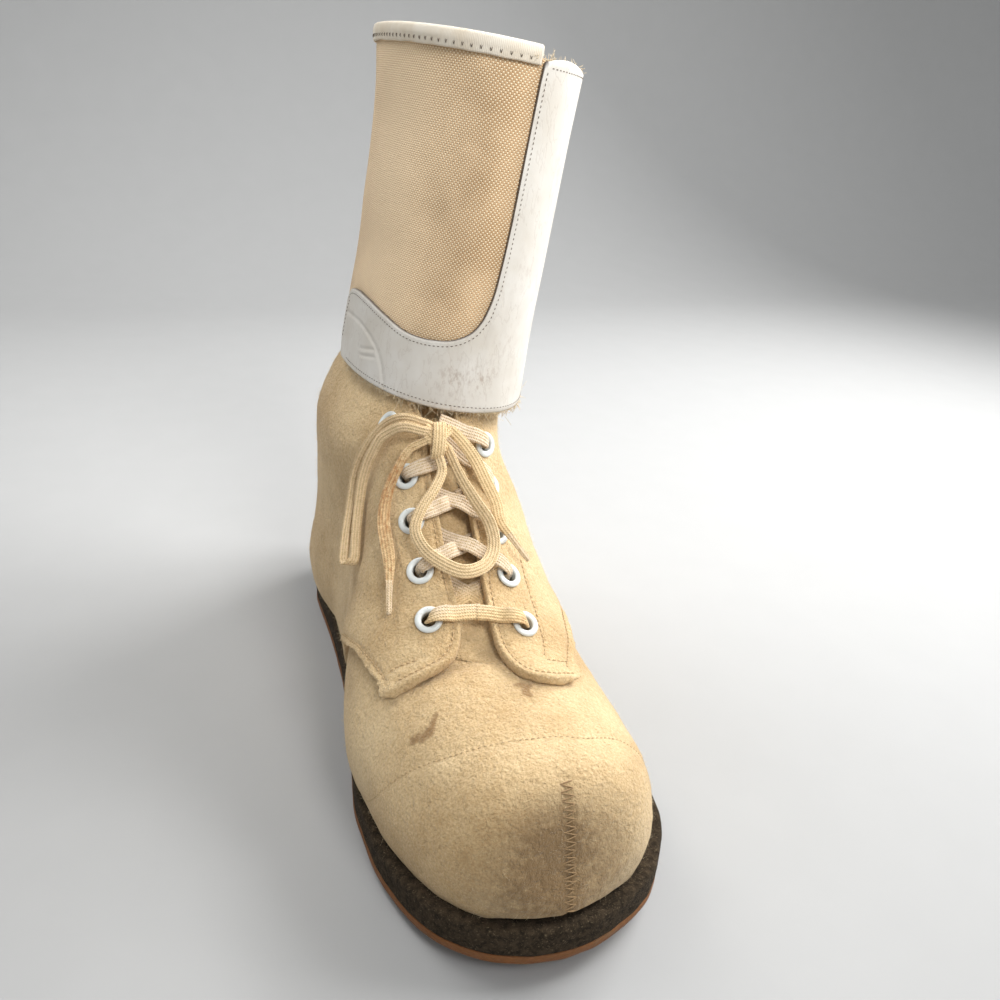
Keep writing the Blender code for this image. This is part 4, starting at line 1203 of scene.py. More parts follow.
def thread_piece(name, rows, radius, material, slot, sides=6):
    """One piece for many threads: rows of (lines, outward)."""
    parts = []
    for lines, outward in rows:
        taper = np.ones(lines.shape[1])
        taper[[0, -1]] = 0.6
        parts.append(tubes(lines, outward, radius * taper, sides))
    return piece(name, new_mesh(name, *joined(parts)), material, slot)


def make_felt_stitches(quarter_seams, vamp_seam, toe_seam, felt):
    """The stitches of the quarters, the vamp, the tongue and the toe."""
    rows = [stitches(seam, 2.5, 0.66, 0.28, 0.1, -0.42) for seam in quarter_seams]
    rows.append(stitches(vamp_seam, 2.2, 0.62, 0.26, 0.1, -0.4))
    tongue_seam = settled(at_stations(TONGUE_SEAM), felt.upper)
    rows.append(stitches(tongue_seam, 2.2, 0.7, 0.25, 0.15, -0.1))
    thread_piece("felt_stitches", rows, 0.28, PALE_THREAD, "cream_felt")
    make_toe_seam(toe_seam, felt)


ZIGZAG_PITCH = 1.35
ZIGZAG_HALF, ZIGZAG_UNEVEN = 2.6, 0.5


def make_toe_seam(line, felt):
    """Zigzag threads over the butted seam at the toe, from hole to hole on each side."""
    outward = outward_at(line)
    tangent = unit(np.gradient(line, axis=0))
    across = np.cross(outward, tangent)
    at = lengths(line)
    where = np.linspace(0.5, at[-1] - 0.5, int(at[-1] / ZIGZAG_PITCH))
    lines, ways = [], []
    for number, (start, end) in enumerate(zip(where[:-1], where[1:])):
        sign = 1 if number % 2 else -1
        share = np.linspace(0, 1, 7)
        place = start + (end - start) * share + 0.25 * RANDOM.normal() * (1 - share)
        half = ZIGZAG_HALF + ZIGZAG_UNEVEN * RANDOM.random()
        offset = sign * half * (2 * share - 1)
        row, side, out = (read_at(place, at, rows) for rows in (line, across, outward))
        row = nearest_on(row + offset[:, None] * side, felt.upper)
        lift = 0.4 * np.sin(np.pi * share) ** 0.6 - 0.35
        lines.append(row + lift[:, None] * out)
        ways.append(out)
    thread_piece("toe_zigzag", [(np.array(lines), np.array(ways))], 0.26, TOE_THREAD, "cream_felt")


# How many fibres start on each piece of felt, and on the midsole.
FUZZ = {
    "felt_upper": 22500,
    "felt_quarter_medial": 12500,
    "felt_quarter_lateral": 12500,
    "felt_tongue": 2000,
}
SOLE_FUZZ = 26000


def surface_samples(name, count):
    """Points spread evenly over a piece, with the directions of its faces there."""
    mesh = bpy.data.objects[name].data
    mesh.calc_loop_triangles()
    corners = np.empty(len(mesh.loop_triangles) * 3, np.int32)
    mesh.loop_triangles.foreach_get("vertices", corners)
    a, b, c = np.moveaxis(points_of(mesh)[corners.reshape(-1, 3)], 1, 0)
    normal = np.cross(b - a, c - a)
    area = np.linalg.norm(normal, axis=1)
    picked = RANDOM.choice(len(area), count, p=area / area.sum())
    u, v = RANDOM.random((2, count, 1))
    u, v = np.where(u + v > 1, 1 - u, u), np.where(u + v > 1, 1 - v, v)
    start = a[picked]
    return start + u * (b[picked] - start) + v * (c[picked] - start), unit(normal[picked])


def fibres(points, outward, length, width, lean):
    """(points, triangles) of a thin closed spike from each point. A small lean lays it flat."""
    count = len(points)
    tangent = unit(np.cross(outward, RANDOM.normal(size=(count, 3))))
    way = unit(lean * outward + tangent)
    tip = points + way * length[:, None]
    side = unit(np.cross(way, outward))
    over = np.cross(side, way)
    ring = []
    for angle in (0, 2.1, 4.2):
        ring.append(points - 0.3 * outward + width / 2 * (np.cos(angle) * side + np.sin(angle) * over))
    index = np.arange(count) * 4
    a, b, c, d = (index + i for i in range(4))
    faces = [np.stack(f, -1) for f in ((a, b, d), (b, c, d), (c, a, d), (c, b, a))]
    return np.stack([*ring, tip], 1).reshape(-1, 3), np.concatenate(faces)


def make_fuzz():
    """Short fibres that stand off the felt."""
    found = [surface_samples(name, count) for name, count in FUZZ.items()]
    points, outward = (np.concatenate(kind) for kind in zip(*found))
    shown = (outward_at(points) * outward).sum(1) > 0.2
    points, outward = points[shown], outward[shown]
    length = RANDOM.gamma(3.0, 0.55, len(points)).clip(0.5, 5)
    mesh = new_mesh("felt_fuzz", *fibres(points, outward, length, 0.1, 0.7))
    piece("felt_fuzz", mesh, PALE_FIBRE, "cream_felt")


# Soles
SOLE_STEPS = 140


def left_of(way):
    """The directions in plan to the left of these."""
    return np.stack([-way[:, 1], way[:, 0]], -1)


def sole_ring(inward, above):
    """The sole's outline, moved in from its edge, at this height over the spring of the sole."""
    stations = SOLE_LENGTH / 2 * (1 - np.cos(np.linspace(0, np.pi, SOLE_STEPS + 1)))
    middle, half = sole_edge(stations)
    lateral = np.stack([middle + half, stations], -1)
    medial = np.stack([middle - half, stations], -1)[-2:0:-1]
    outline = np.concatenate([lateral, medial])
    way = unit(np.roll(outline, -1, 0) - np.roll(outline, 1, 0))
    x, station = (outline + inward * left_of(way)).T
    return np.stack([x, station - MIDDLE, spring(station) + above], -1)


def sole_mesh(name, levels, waviness):
    """A layer of the sole: levels are rows of (inward, above) from its underside to its top."""
    rings = np.array([sole_ring(*level) for level in levels])
    sides = rings[1:-1]
    wave = [noise.noise(Vector(p) / 7) * waviness for p in sides.reshape(-1, 3).tolist()]
    outward = unit(sides * (1, 1, 0) - sides.mean(1, keepdims=True) * (1, 1, 0))
    rings[1:-1] += np.array(wave).reshape(*sides.shape[:2], 1) * outward
    return ringed_mesh(name, rings)


def make_soles():
    """The rubber outsole and the felt midsole, each with softened edges."""
    top = OUTSOLE_THICKNESS
    levels = [(3, 0), (1.0, 0), (0.35, 0.4), (0, 1.3), (0, 2.6), (0.1, top - 0.4), (0.5, top)]
    piece("rubber_outsole", sole_mesh("outsole", levels, 0.25), AMBER_RUBBER, "amber_rubber", "outsole")
    low = OUTSOLE_THICKNESS + GAP
    sides = [(0.15, low + 0.2), *[(0, h) for h in np.linspace(low + 1, FEATHER - 2, 7)]]
    levels = [(0.8, low), *sides, (0.25, FEATHER - 1.0), (0.9, FEATHER - 0.3), (1.9, FEATHER)]
    levels += [(i, FEATHER) for i in (3.2, 4.8, 7)]
    piece("felt_midsole", sole_mesh("midsole", levels, 0.45), FLECKED_FELT, "flecked_felt", "midsole")


def make_sole_fuzz():
    """Fibres along the felt sole's side and its ledge."""
    points, outward = surface_samples("felt_midsole", SOLE_FUZZ)
    shown = (points[:, 2] > OUTSOLE_THICKNESS + 1) & (outward[:, 2] > -0.3)
    inside = (outward[:, 2] > 0.9) & (last_field(points[:, 0], points[:, 1] + MIDDLE, points[:, 2] + 2) < 0)
    points, outward = points[shown & ~inside], outward[shown & ~inside]
    length = RANDOM.gamma(3.0, 0.3, len(points)).clip(0.3, 2.5)
    mesh = new_mesh("sole_fuzz", *fibres(points, outward, length, 0.08, 0.5))
    piece("sole_fuzz", mesh, BROWN_FIBRE, "flecked_felt")


def make_insole(felt):
    """The insole, a rounded slab inside the upper's foot line."""
    ring = felt.points[0]
    way = unit((np.roll(ring, -1, 0) - np.roll(ring, 1, 0)) * (1, 1, 0))
    rings = []
    for inward, above in ((FELT + 3, 0.3), (FELT + 2.2, 1), (FELT + 2.2, 3), (FELT + 3, INSOLE_THICKNESS)):
        inner = ring[:, :2] + inward * left_of(way)
        z = FEATHER + GAP + spring(inner[:, 1] + MIDDLE) + above
        rings.append(np.column_stack([inner, z]))
    piece("felt_insole", ringed_mesh("insole", np.array(rings)), INSOLE_FELT, "insole_felt", "insole")


# Eyelets, from the top down: (x, z), seen from the front
EYELETS = {
    "medial": [(-26.8, 146), (-24.4, 130.2), (-25.7, 116), (-26.1, 100.8), (-27.3, 88.2)],
    "lateral": [(12.9, 139.8), (12.6, 124.5), (10.9, 109.7), (11.2, 96.6), (11.9, 84.4)],
}
HOLE_RADIUS = 4.7
EYELET_RADIUS = 5.8
EYELET_BORE = 3.1
EYELET_SIDES = 40
FLANGE_LEVEL, FLANGE_RISE = 0.55, 0.95
BARREL_WALL = 0.6
CUTTER_SIDES = 24


def on_facing(x, z, height, felt):
    """The point at this height over the skin where the facings have this x and z, and its outward way."""
    point = np.array(from_front(x, z, felt.facing))
    outward = outward_at(point[None])[0]
    return point + (height - GAP - FELT) * outward, outward


def eyelet_places(felt):
    """Where each eyelet's flange rests on its facing."""
    places = {}
    for side, spots_here in EYELETS.items():
        places[side] = []
        for x, z in spots_here:
            point, outward = on_facing(x, z, GAP + FELT, felt)
            across = unit(np.cross([0, 0, 1], outward))
            axes = np.array([across, np.cross(outward, across), outward])
            angle = np.arange(16)[:, None] * np.pi / 8
            rim = point + EYELET_RADIUS * (np.cos(angle) * axes[0] + np.sin(angle) * axes[1])
            hits = [felt.quarter.ray_cast(Vector(p + 20 * outward), Vector(-outward))[0] for p in rim]
            lift = np.median((np.array(hits) - point) @ outward) + 0.2
            places[side].append({"point": point + lift * outward, "axes": axes, "base": point})
    return places


def round_rings(axes, base, profile, steps):
    """Points of rings of (radius, height) about the third of some axes."""
    angle = np.arange(steps) * 2 * np.pi / steps
    rings = []
    for radius, height in profile:
        ring = np.stack([radius * np.cos(angle), radius * np.sin(angle), np.full(steps, height)], -1)
        rings.append(ring @ axes + base)
    return np.concatenate(rings)


def cylinder(place, radius, low, high):
    """A closed round cutter along a place's own way out."""
    points = round_rings(place["axes"], place["base"], [(radius, low), (radius, high)], CUTTER_SIDES)
    return new_mesh("cutter", points, *tube_faces(2, CUTTER_SIDES))


def turned_mesh(name, profile, place):
    """A closed profile of (radius, height) turned about a place's axis."""
    points = round_rings(place["axes"], place["point"], profile, EYELET_SIDES)
    return new_mesh(name, points, *tube_faces(len(profile), EYELET_SIDES, True))


def make_eyelets(places):
    """Rolled ring flanges, each with a barrel through its facing."""
    roll = np.radians(np.linspace(-40, 200, 13))
    middle, half = (EYELET_RADIUS + EYELET_BORE) / 2, (EYELET_RADIUS - EYELET_BORE) / 2
    inside, outside = EYELET_BORE + 0.1, EYELET_BORE + 0.1 + BARREL_WALL
    profile = [(middle + half * np.cos(a), FLANGE_LEVEL + FLANGE_RISE * np.sin(a)) for a in roll]
    profile += [(inside, -0.8), (inside, -FELT + 0.4), (outside, -FELT + 0.4), (outside, -0.4)]
    for side, here in places.items():
        for number, place in enumerate(here, 1):
            name = f"eyelet_{side}_{number}"
            mesh = turned_mesh(name, profile, place)
            piece("enamel_" + name, mesh, ENAMELLED_STEEL, "enamelled_steel", name)


# Laces
LACE_WIDTH = 7.0
LACE_THICKNESS = 1.5
LACE_IN_EYELET = 4.4
LACE_OVER_FLANGE = 8.9
LACE_OVER_FACING = 6.1
LACE_UNDER_FACING = -1.2
GAP_EDGES = {"medial": -13.2, "lateral": -3.8}
# How far up a taut lace is pulled from the level line between its eyelets, at its middle.
LACE_PULL = 4.0
KNOT_SPOT = (-10.9, 146.5)
KNOT_HEIGHT = 11.1
KNOT_DROP = 3.2
LACE_SIDES = 16
# How far apart the points of the lace's middle lines are.
LACE_STEP = 0.7


def strand(start, end, over_start, over_end, felt):
    """Rows of (point, outward, heading, width) for the lace from one spot to the next. Each spot is
    (x, z, side), and a side of None is under the knot. The lace is over or under each facing."""
    ways = 1 if end[0] > start[0] else -1
    first, _ = on_facing(start[0], start[1], 0, felt)
    last, _ = on_facing(end[0], end[1], 0, felt)
    heading = unit(last - first)

    def near(over):
        if over:
            return [(2.9, LACE_OVER_FLANGE, 5.8), (6.8, LACE_OVER_FLANGE - 0.4, 7), (9.6, 6.6, 7)]
        return [(2.9, LACE_UNDER_FACING, 5.4), (6.8, LACE_UNDER_FACING, 7)]

    rows = [(start[0] + ways * away, height, width) for away, height, width in near(over_start)]
    level = {True: LACE_OVER_FACING, False: LACE_UNDER_FACING}
    edges = sorted(GAP_EDGES.values(), reverse=ways < 0)
    if start[2] is None:
        rows = [(start[0], LACE_OVER_FACING, LACE_WIDTH), (edges[1], LACE_OVER_FACING, LACE_WIDTH)]
    elif end[2] is None:
        rows.append((edges[0], LACE_OVER_FACING, LACE_WIDTH))
        rows.append((end[0], LACE_OVER_FACING, LACE_WIDTH))
    else:
        middle = (level[over_start] + level[over_end]) / 2
        rows.append((edges[0], level[over_start], LACE_WIDTH))
        rows.append((sum(edges) / 2, middle, LACE_WIDTH))
        rows.append((edges[1], level[over_end], LACE_WIDTH))
    if end[2] is not None:
        rows += [(end[0] - ways * away, height, width) for away, height, width in near(over_end)[::-1]]
    made = []
    for x, height, width in rows:
        share = (x - start[0]) / (end[0] - start[0])
        pull = 0.5 + share / 2 if start[2] is None else share
        pull = share / 2 if end[2] is None else pull
        z = start[1] + (end[1] - start[1]) * share + 4 * LACE_PULL * pull * (1 - pull)
        point, outward = on_facing(x, z, height, felt)
        made.append((point, outward, heading, width))
    return made


def passing(place, come, leave, rising):
    """The lace through an eyelet, between the headings that it comes and leaves by."""
    outward = place["axes"][2]
    heights = (0.7, 3.5, 7.9) if rising else (7.9, 3.5, 0.7)
    rows = []
    for along_it, height in zip((-0.9, 0, 0.9), heights):
        heading = come if along_it < 0 else leave
        point = place["base"] + along_it * heading + (height - GAP - FELT) * outward
        rows.append((point, outward, unit(come + leave) if along_it == 0 else heading, LACE_IN_EYELET))
    return rows


def lace_half(spots_here, felt):
    """One half of the lace, from the middle of the bar at the bottom up to the knot."""
    strands = []
    for number, (start, end) in enumerate(zip(spots_here[:-1], spots_here[1:])):
        over_end = number == 0 or end[2] is None
        strands.append(strand(start[:3], end[:3], number != 1, over_end, felt))
    rows = []
    for number, made in enumerate(strands):
        rows += made
        if number + 1 < len(strands):
            place = spots_here[number + 1][3]
            rows += passing(place, made[0][2], strands[number + 1][0][2], number > 0)
    return rows


def band(points, face, width, thickness=LACE_THICKNESS, closed=False):
    """(points, quads, caps, cloth) of a flat lace with soft edges along dense points. face is the way
    that its flat side looks. cloth is the length along it and across it."""
    tangent = np.roll(points, -1, 0) - np.roll(points, 1, 0) if closed else np.gradient(points, axis=0)
    tangent = unit(tangent)
    side = unit(np.cross(face, tangent))
    over = np.cross(tangent, side)
    angle = np.arange(LACE_SIDES) * 2 * np.pi / LACE_SIDES
    across = np.sign(np.cos(angle)) * np.abs(np.cos(angle)) ** 0.75
    deep = np.sign(np.sin(angle)) * np.abs(np.sin(angle)) ** 0.6
    half = np.broadcast_to(width, len(points))[:, None] / 2
    rings = points[:, None] + half[..., None] * across[:, None] * side[:, None]
    rings = rings + thickness / 2 * deep[:, None] * over[:, None]
    shape = rings.shape[:2]
    cloth = [np.broadcast_to(lengths(points)[:, None], shape), across * half, np.zeros(shape)]
    faces = tube_faces(*shape, closed)
    return rings.reshape(-1, 3), *faces, np.stack(cloth, -1).reshape(-1, 3)


def band_piece(name, bands, pale, stain, *stands_for):
    """A piece made of one or more bands. pale and stain are numbers, or functions of its points."""
    points, quads, caps, cloth = joined(bands)
    mesh = new_mesh(name, points, quads, caps)
    paint(mesh, "cloth", cloth)
    for kind, value in (("pale", pale), ("stain", stain)):
        paint(mesh, kind, np.broadcast_to(value(points) if callable(value) else value, len(points)))
    return piece(name, mesh, BRAIDED_COTTON, "braided_cotton", *stands_for)


def half_band(rows):
    """A band through rows of (point, outward, heading, width), as the lace is run."""
    points = np.array([row[0] for row in rows])
    face, before = [], None
    way = unit(np.gradient(points, axis=0))
    for (_, outward, heading, _), tangent in zip(rows, way):
        flat = heading - (heading @ outward) * outward
        side = unit(np.cross(outward, flat)) if np.linalg.norm(flat) > 0.2 else before
        if before is not None and side @ before < 0:
            side = -side
        before = side
        face.append(np.cross(tangent, side))
    widths = np.array([row[3] for row in rows])
    dense = spline(np.column_stack([points, np.array(face), widths]), LACE_STEP)
    return band(dense[:, :3], unit(dense[:, 3:6]), dense[:, 6])


def make_crossings(felt, places):
    """The bar and crossings of the lace, in two halves from the bar's middle up to the knot."""
    def spot(side, number):
        x, z = EYELETS[side][number - 1]
        return (x, z, side, places[side][number - 1])

    bar = (EYELETS["medial"][-1][1] + EYELETS["lateral"][-1][1]) / 2
    first = [(LACING_CENTRE + 1, bar, None, None), spot("medial", 5), spot("lateral", 4)]
    first += [spot("medial", 3), spot("lateral", 2), (-10, 143.2, None, None)]
    second = [(LACING_CENTRE - 1, bar, None, None), spot("lateral", 5), spot("medial", 4)]
    second += [spot("lateral", 3), spot("medial", 2), spot("lateral", 1), (-8.6, 147.4, None, None)]
    bands = [half_band(lace_half(spots_here, felt)) for spots_here in (first, second)]

    def pale(points):
        return smoothstep(points[:, 2], 90, 96)

    def stain(points):
        return 0.42 * smoothstep(points[:, 2], 96, 88) * smoothstep(points[:, 1], -40, -60)

    band_piece("lace_braid_crossings", bands, pale, stain, "lace_crossings")


# Where each loop and end leaves the knot, and where an open loop comes back: (across, up) from the
# knot's middle.
LEAVES = {
    "lace_loop_medial": [(-4.9, 2.2)],
    "lace_end_medial": [(-4.8, -3)],
    "lace_loop_front": [(-1.2, -7.6), (3.6, -6.7)],
    "lace_end_lateral": [(5.4, 1.5)],
}
# The lace's width from one end of each to the other, narrower where it is bunched up.
HANGING_WIDTHS = {
    "lace_loop_medial": (4.2, 4.9, 4.3, 4.9, 4.2),
    "lace_end_medial": (3.6, 4.2, 5.2, 6.3, 3.2),
    "lace_loop_front": (4.2, 5.1, 5.9, 5.5, 4.2),
    "lace_end_lateral": (4.4, 5.6, 5.8, 5.4, 3.2),
}
# The loops and ends of the bow: (x, station, z) of their middle lines, as in the part's source, and
# how far their flat side is turned from the boot's own way out.
HANGING = {
    "lace_loop_medial": [
        (-24, 160, 153, -12),
        (-31, 168.3, 146.8, -35),
        (-36.8, 173.7, 134.5, -48),
        (-39.7, 176.3, 123.4, -55),
        (-42.4, 173.7, 109.6, -62),
        (-45.4, 167, 100.9, -64),
        (-48.8, 156.7, 92, -64),
    ],
    "lace_end_medial": [
        (-23, 155.2, 142.8, -10),
        (-28.6, 154.5, 134.2, -18),
        (-33.4, 151.8, 124.5, -26),
        (-36.7, 144.9, 115, -28),
        (-37.5, 135.8, 108.3, -22),
        (-37.9, 130.2, 103.7, -20),
        (-39.6, 122.8, 96.5, -20),
    ],
    "lace_loop_front": [
        (-12.6, 142.6, 137, 26),
        (-17, 138.1, 131.4, 22),
        (-24.2, 133.8, 123.7, 16),
        (-27.3, 129.8, 117.8, 15),
        (-25.6, 123.1, 112.2, 20),
        (-20, 116.4, 108.4, 19),
        (-11.4, 111.2, 105.9, 16),
        (-1.9, 112.9, 106.7, -3),
        (4, 119.4, 110.8, -32),
        (4.6, 127.1, 118, -46),
        (-0.1, 133.3, 126, -44),
        (-4.2, 139.4, 133.2, -42),
    ],
    "lace_end_lateral": [
        (-1.8, 150.5, 146.8, 18),
        (3.6, 148.2, 139.2, 22),
        (7.3, 142.5, 130.8, 28),
        (10.4, 135.7, 122.4, 30),
        (10.6, 130.6, 117.2, 30),
        (14.8, 126.1, 110.6, 32),
    ],
}


def knot_frame(felt):
    """The knot's place, and its directions to the side, up and out."""
    point, outward = on_facing(*KNOT_SPOT, KNOT_HEIGHT, felt)
    side = unit(np.cross([0, 0, 1], outward))
    return point, side, np.cross(outward, side), outward


def hanging_width(name, count):
    return np.interp(np.linspace(0, 4, count), np.arange(5), HANGING_WIDTHS[name])


def turned_faces(points, turns):
    """The boot's way out at each point, turned about the line through the points by these angles."""
    tangent = unit(np.gradient(points, axis=0))
    out = outward_at(points)
    out = unit(out - (out * tangent).sum(1, keepdims=True) * tangent)
    angle = np.radians(turns)[:, None]
    return out * np.cos(angle) + np.cross(tangent, out) * np.sin(angle)


def route(name, knot):
    """The middle line of a loop or end, with the turn of its flat side."""
    point, side, up, _ = knot
    ends = [point + across * side + rise * up for across, rise in LEAVES[name]]
    rows = np.array(HANGING[name], float) - (0, MIDDLE, 0, 0)
    first = np.append(ends[0], rows[0, 3])
    last = [np.append(end, rows[-1, 3]) for end in ends[1:]]
    return spline(np.vstack([first, rows, *last]), LACE_STEP)


def make_aglet(name, line):
    """A thin plastic sleeve on the last of a lace."""
    at = lengths(line)
    rows = line[at > at[-1] - 1.0][:1]
    way = unit(line[-1, :3] - line[-8, :3])
    start = rows[0, :3]
    points = start + way * np.linspace(-1.5, 13, 9)[:, None]
    face = turned_faces(points, np.full(len(points), line[-1, 3]))
    width = np.array([3.4, 3.0, 2.7, 2.6, 2.5, 2.5, 2.5, 2.4, 1.8])
    return band_piece(name, [band(points, face, width, 1.6)], 0.7, 0.1)


def hang(name, line, face, pale, stain):
    """A loop or end of the lace, as one piece."""
    made = band(line[:, :3], face, hanging_width(name, len(line)))
    obj = band_piece(name + "_braid", [made], pale, stain, name)


def make_bow(felt):
    """The knot, two loops and two ends."""
    knot = knot_frame(felt)
    for name, stain in (("lace_end_medial", 0.62), ("lace_end_lateral", 0.12)):
        line = route(name, knot)
        aglet = make_aglet(name.replace("end", "aglet"), line)
        tint = stain * np.interp(np.arange(len(line)), [0, len(line) * 0.3, len(line)], [0.4, 1, 0.75])
        face = turned_faces(line[:, :3], line[:, 3])
        hang(name, line, face, 0.1, np.repeat(tint, LACE_SIDES))

    line = route("lace_loop_front", knot)
    hang("lace_loop_front", line, turned_faces(line[:, :3], line[:, 3]), 0.25, 0.2)

    point, side, up, _ = knot
    line = doubled(route("lace_loop_medial", knot), point - 1.2 * side + 0.8 * up)
    hang("lace_loop_medial", line, unit(line[:, 3:]), 0.3, 0.1)
    make_knot(knot)


def doubled(line, held):
    """Rows of points and faces for a loop's two strands, out to its flat fold and back. held is
    where both go into the knot."""
    points = line[:, :3]
    tangent = unit(np.gradient(points, axis=0))
    face = turned_faces(points, line[:, 3])
    side = np.cross(tangent, face)
    share = np.linspace(0, 1, len(line))[:, None]
    spread = 1.5 + 1.3 * share
    depth = 1.25 + 0.5 * np.sin(np.pi * share)
    out = np.hstack([points - spread * side + depth * face, face])
    back = np.hstack([points + spread * side - depth * face, -face])
    tip = points[-1] + 2.2 * tangent[-1]
    folds = []
    for angle in np.radians((35, 90, 145)):
        across, ahead = np.cos(angle), np.sin(angle)
        place = points[-1] + (1.2 * across) * face[-1] - (spread[-1] * across) * side[-1]
        place = place + ahead * (tip - points[-1])
        folds.append(np.append(place, unit(across * face[-1] + ahead * tangent[-1])))
    first, last = (np.append(held + 0.5 * (row[:3] - points[0]), row[3:]) for row in (out[0], back[0]))
    return spline(np.concatenate([[first], out[:-1:4], np.array(folds), back[-2::-4], [last]]), 0.6)


def make_knot(knot):
    """A flat turn of lace round the strands, and the strands that it holds."""
    point, side, up, outward = knot
    angle = np.linspace(np.pi, 3 * np.pi, 60, endpoint=False)
    tall, deep = 7.2, 3.2
    rise, ahead = np.sin(angle)[:, None], np.cos(angle)[:, None]
    wrap = point - KNOT_DROP * up + tall * rise * up + deep * ahead * outward + 0.9 * rise * side
    face = unit(rise * up / tall + ahead * outward / deep)
    bands = [band(wrap, face, 5.6, 1.7, closed=True)]
    for leaves in LEAVES.values():
        for across, rise in leaves:
            share = np.linspace(1.12, 0.1, 12)[:, None]
            held = point + share * (across * side + rise * up) + 1.2 * (1.12 - share) * outward
            held = held - KNOT_DROP * (1 - share.clip(0, 1)) * up
            bands.append(band(held, np.broadcast_to(outward, held.shape), 4.2, 1.6))
    band_piece("lace_knot_braid", bands, 0.15, 0.12, "lace_knot")


# The cuff
CUFF_FOOT = (7.5, 230, 157)
CUFF_LEAN = 6.8
CUFF_SQUARENESS = 2.2
CUFF = table(
    "height half_width half_depth shift",
    [
        (-3, 39.7, 66.3, -1.6),
        (0, 39.6, 66.3, -1.6),
        (30, 38.2, 66.3, -1.6),
        (60, 37.4, 66.3, -1.0),
        (105, 37.6, 66.5, -1.2),
        (143.5, 39.6, 67.5, -2.4),
        (150, 39.8, 67.6, -2.5),
    ],
)
# Columns and rows of points in the canvas, and the thicknesses of what the cuff is made of.
CANVAS_COLUMNS, CANVAS_ROWS = 220, 90
CANVAS = 1.6
LEATHER = 1.6
TAPE = 1.2
CUFF_TOP = 143.5
LEATHER_LOW = -2.5
LEATHER_TOP = [
    (-99, 26),
    (-96, 30),
    (-90, 32),
    (-78, 32.2),
    (-61, 29.6),
    (-43, 26.2),
    (-27, 26.5),
    (-13, 29.3),
    (-5.5, 33.5),
    (-1.8, 38.5),
    (0.4, 46),
    (2, 60),
    (3.1, 77),
    (3.7, 95),
    (4.2, 112),
    (4.9, 126),
    (5.6, 136),
    (6.2, 139.4),
    (9, 140.2),
    (50, 140),
    (84, 140.6),
    (91, 139),
    (96, 134),
    (99, 124),
]
BINDING_ENDS = (4, -258)
BINDING_HEIGHT = 8.0
STRAPS = {"strap_upper": 99, "strap_lower": 41.5}
BINDING_SEWN = 3.7
STRAP_WIDTH = 20.0
STRAP_TIP = 9
STRAP_ANGLES = (99.8, 139)
BUCKLE_ANGLE = 122
BUCKLE = (22, 30)
BUCKLE_BAR = 3.0
BUCKLE_CORNER = 3.0
BAR_SIDES = 10
# About how many millimetres a degree is round the cuff.
DEGREE = 0.95
# How dark the back of the leather is painted, for its raw side and as painted shade where it lies over the
# canvas, and the line and dashes pressed into its tab: (angle, height).
RAW_BACK = 0.85
TAB_LINE = [(-95, 19.5), (-82.5, 20.4), (-71.5, 18.6), (-61.5, 14.1), (-55.8, 7.9), (-51.2, -1.2)]
TAB_DASHES = [(-74, 9.7), (-73, 6.6)]
# Where the leather is scuffed: (angle, height, reach, strength).
SCUFFS = [
    (-12, 12, 9, 0.75),
    (4, 13, 7, 0.8),
    (14, 30, 10, 0.3),
    (18, 60, 10, 0.3),
    (40, 110, 16, 0.25),
]


def cuff(angle, height, over):
    """Points of the cuff's canvas at these angles and heights, this far over its outer face."""
    angle, height = np.broadcast_arrays(np.radians(angle), np.asarray(height, float))
    width = along(height, CUFF, "half_width") + over
    depth = along(height, CUFF, "half_depth") + over
    power = 2 / CUFF_SQUARENESS
    x = width * np.sign(np.sin(angle)) * np.abs(np.sin(angle)) ** power + along(height, CUFF, "shift")
    station = -depth * np.sign(np.cos(angle)) * np.abs(np.cos(angle)) ** power
    lean = np.radians(CUFF_LEAN)
    foot_x, foot_station, foot_z = CUFF_FOOT
    return np.stack(
        [
            foot_x + x * np.cos(lean) + height * np.sin(lean),
            foot_station - MIDDLE + station,
            foot_z - x * np.sin(lean) + height * np.cos(lean),
        ],
        -1,
    )


def cuff_outward(angle, height):
    """The outward directions of the cuff."""
    across = cuff(angle + 1, height, 0) - cuff(angle - 1, height, 0)
    up = cuff(angle, height + 1, 0) - cuff(angle, height - 1, 0)
    return unit(np.cross(across, up))


def cuff_lengths():
    """The distance round the cuff's middle to each degree from the front."""
    angles = np.arange(-180, 181)
    return angles, lengths(cuff(angles, 70.0, 0.0)) - lengths(cuff(np.arange(-180, 1), 70.0, 0.0))[-1]


def even_angles(first, last, count):
    """Angles that are evenly far apart on the cuff."""
    angles, at = cuff_lengths()
    ends = np.interp([first, last], angles, at)
    return np.interp(np.linspace(*ends, count), at, angles)


def canvas_waves(angles, heights):
    """How far the canvas stands out, in slight waves that die away at its foot and its rim."""
    round_it = np.radians(np.broadcast_to(angles, heights.shape))
    places = np.stack([np.cos(round_it), np.sin(round_it), heights / 45], -1).reshape(-1, 3)
    over = np.array([noise.noise(Vector(p) * 1.6) for p in places.tolist()]).reshape(heights.shape)
    return 0.55 * over * smoothstep(heights, 8, 30) * smoothstep(heights, CUFF_TOP - 3, 120) - 0.15


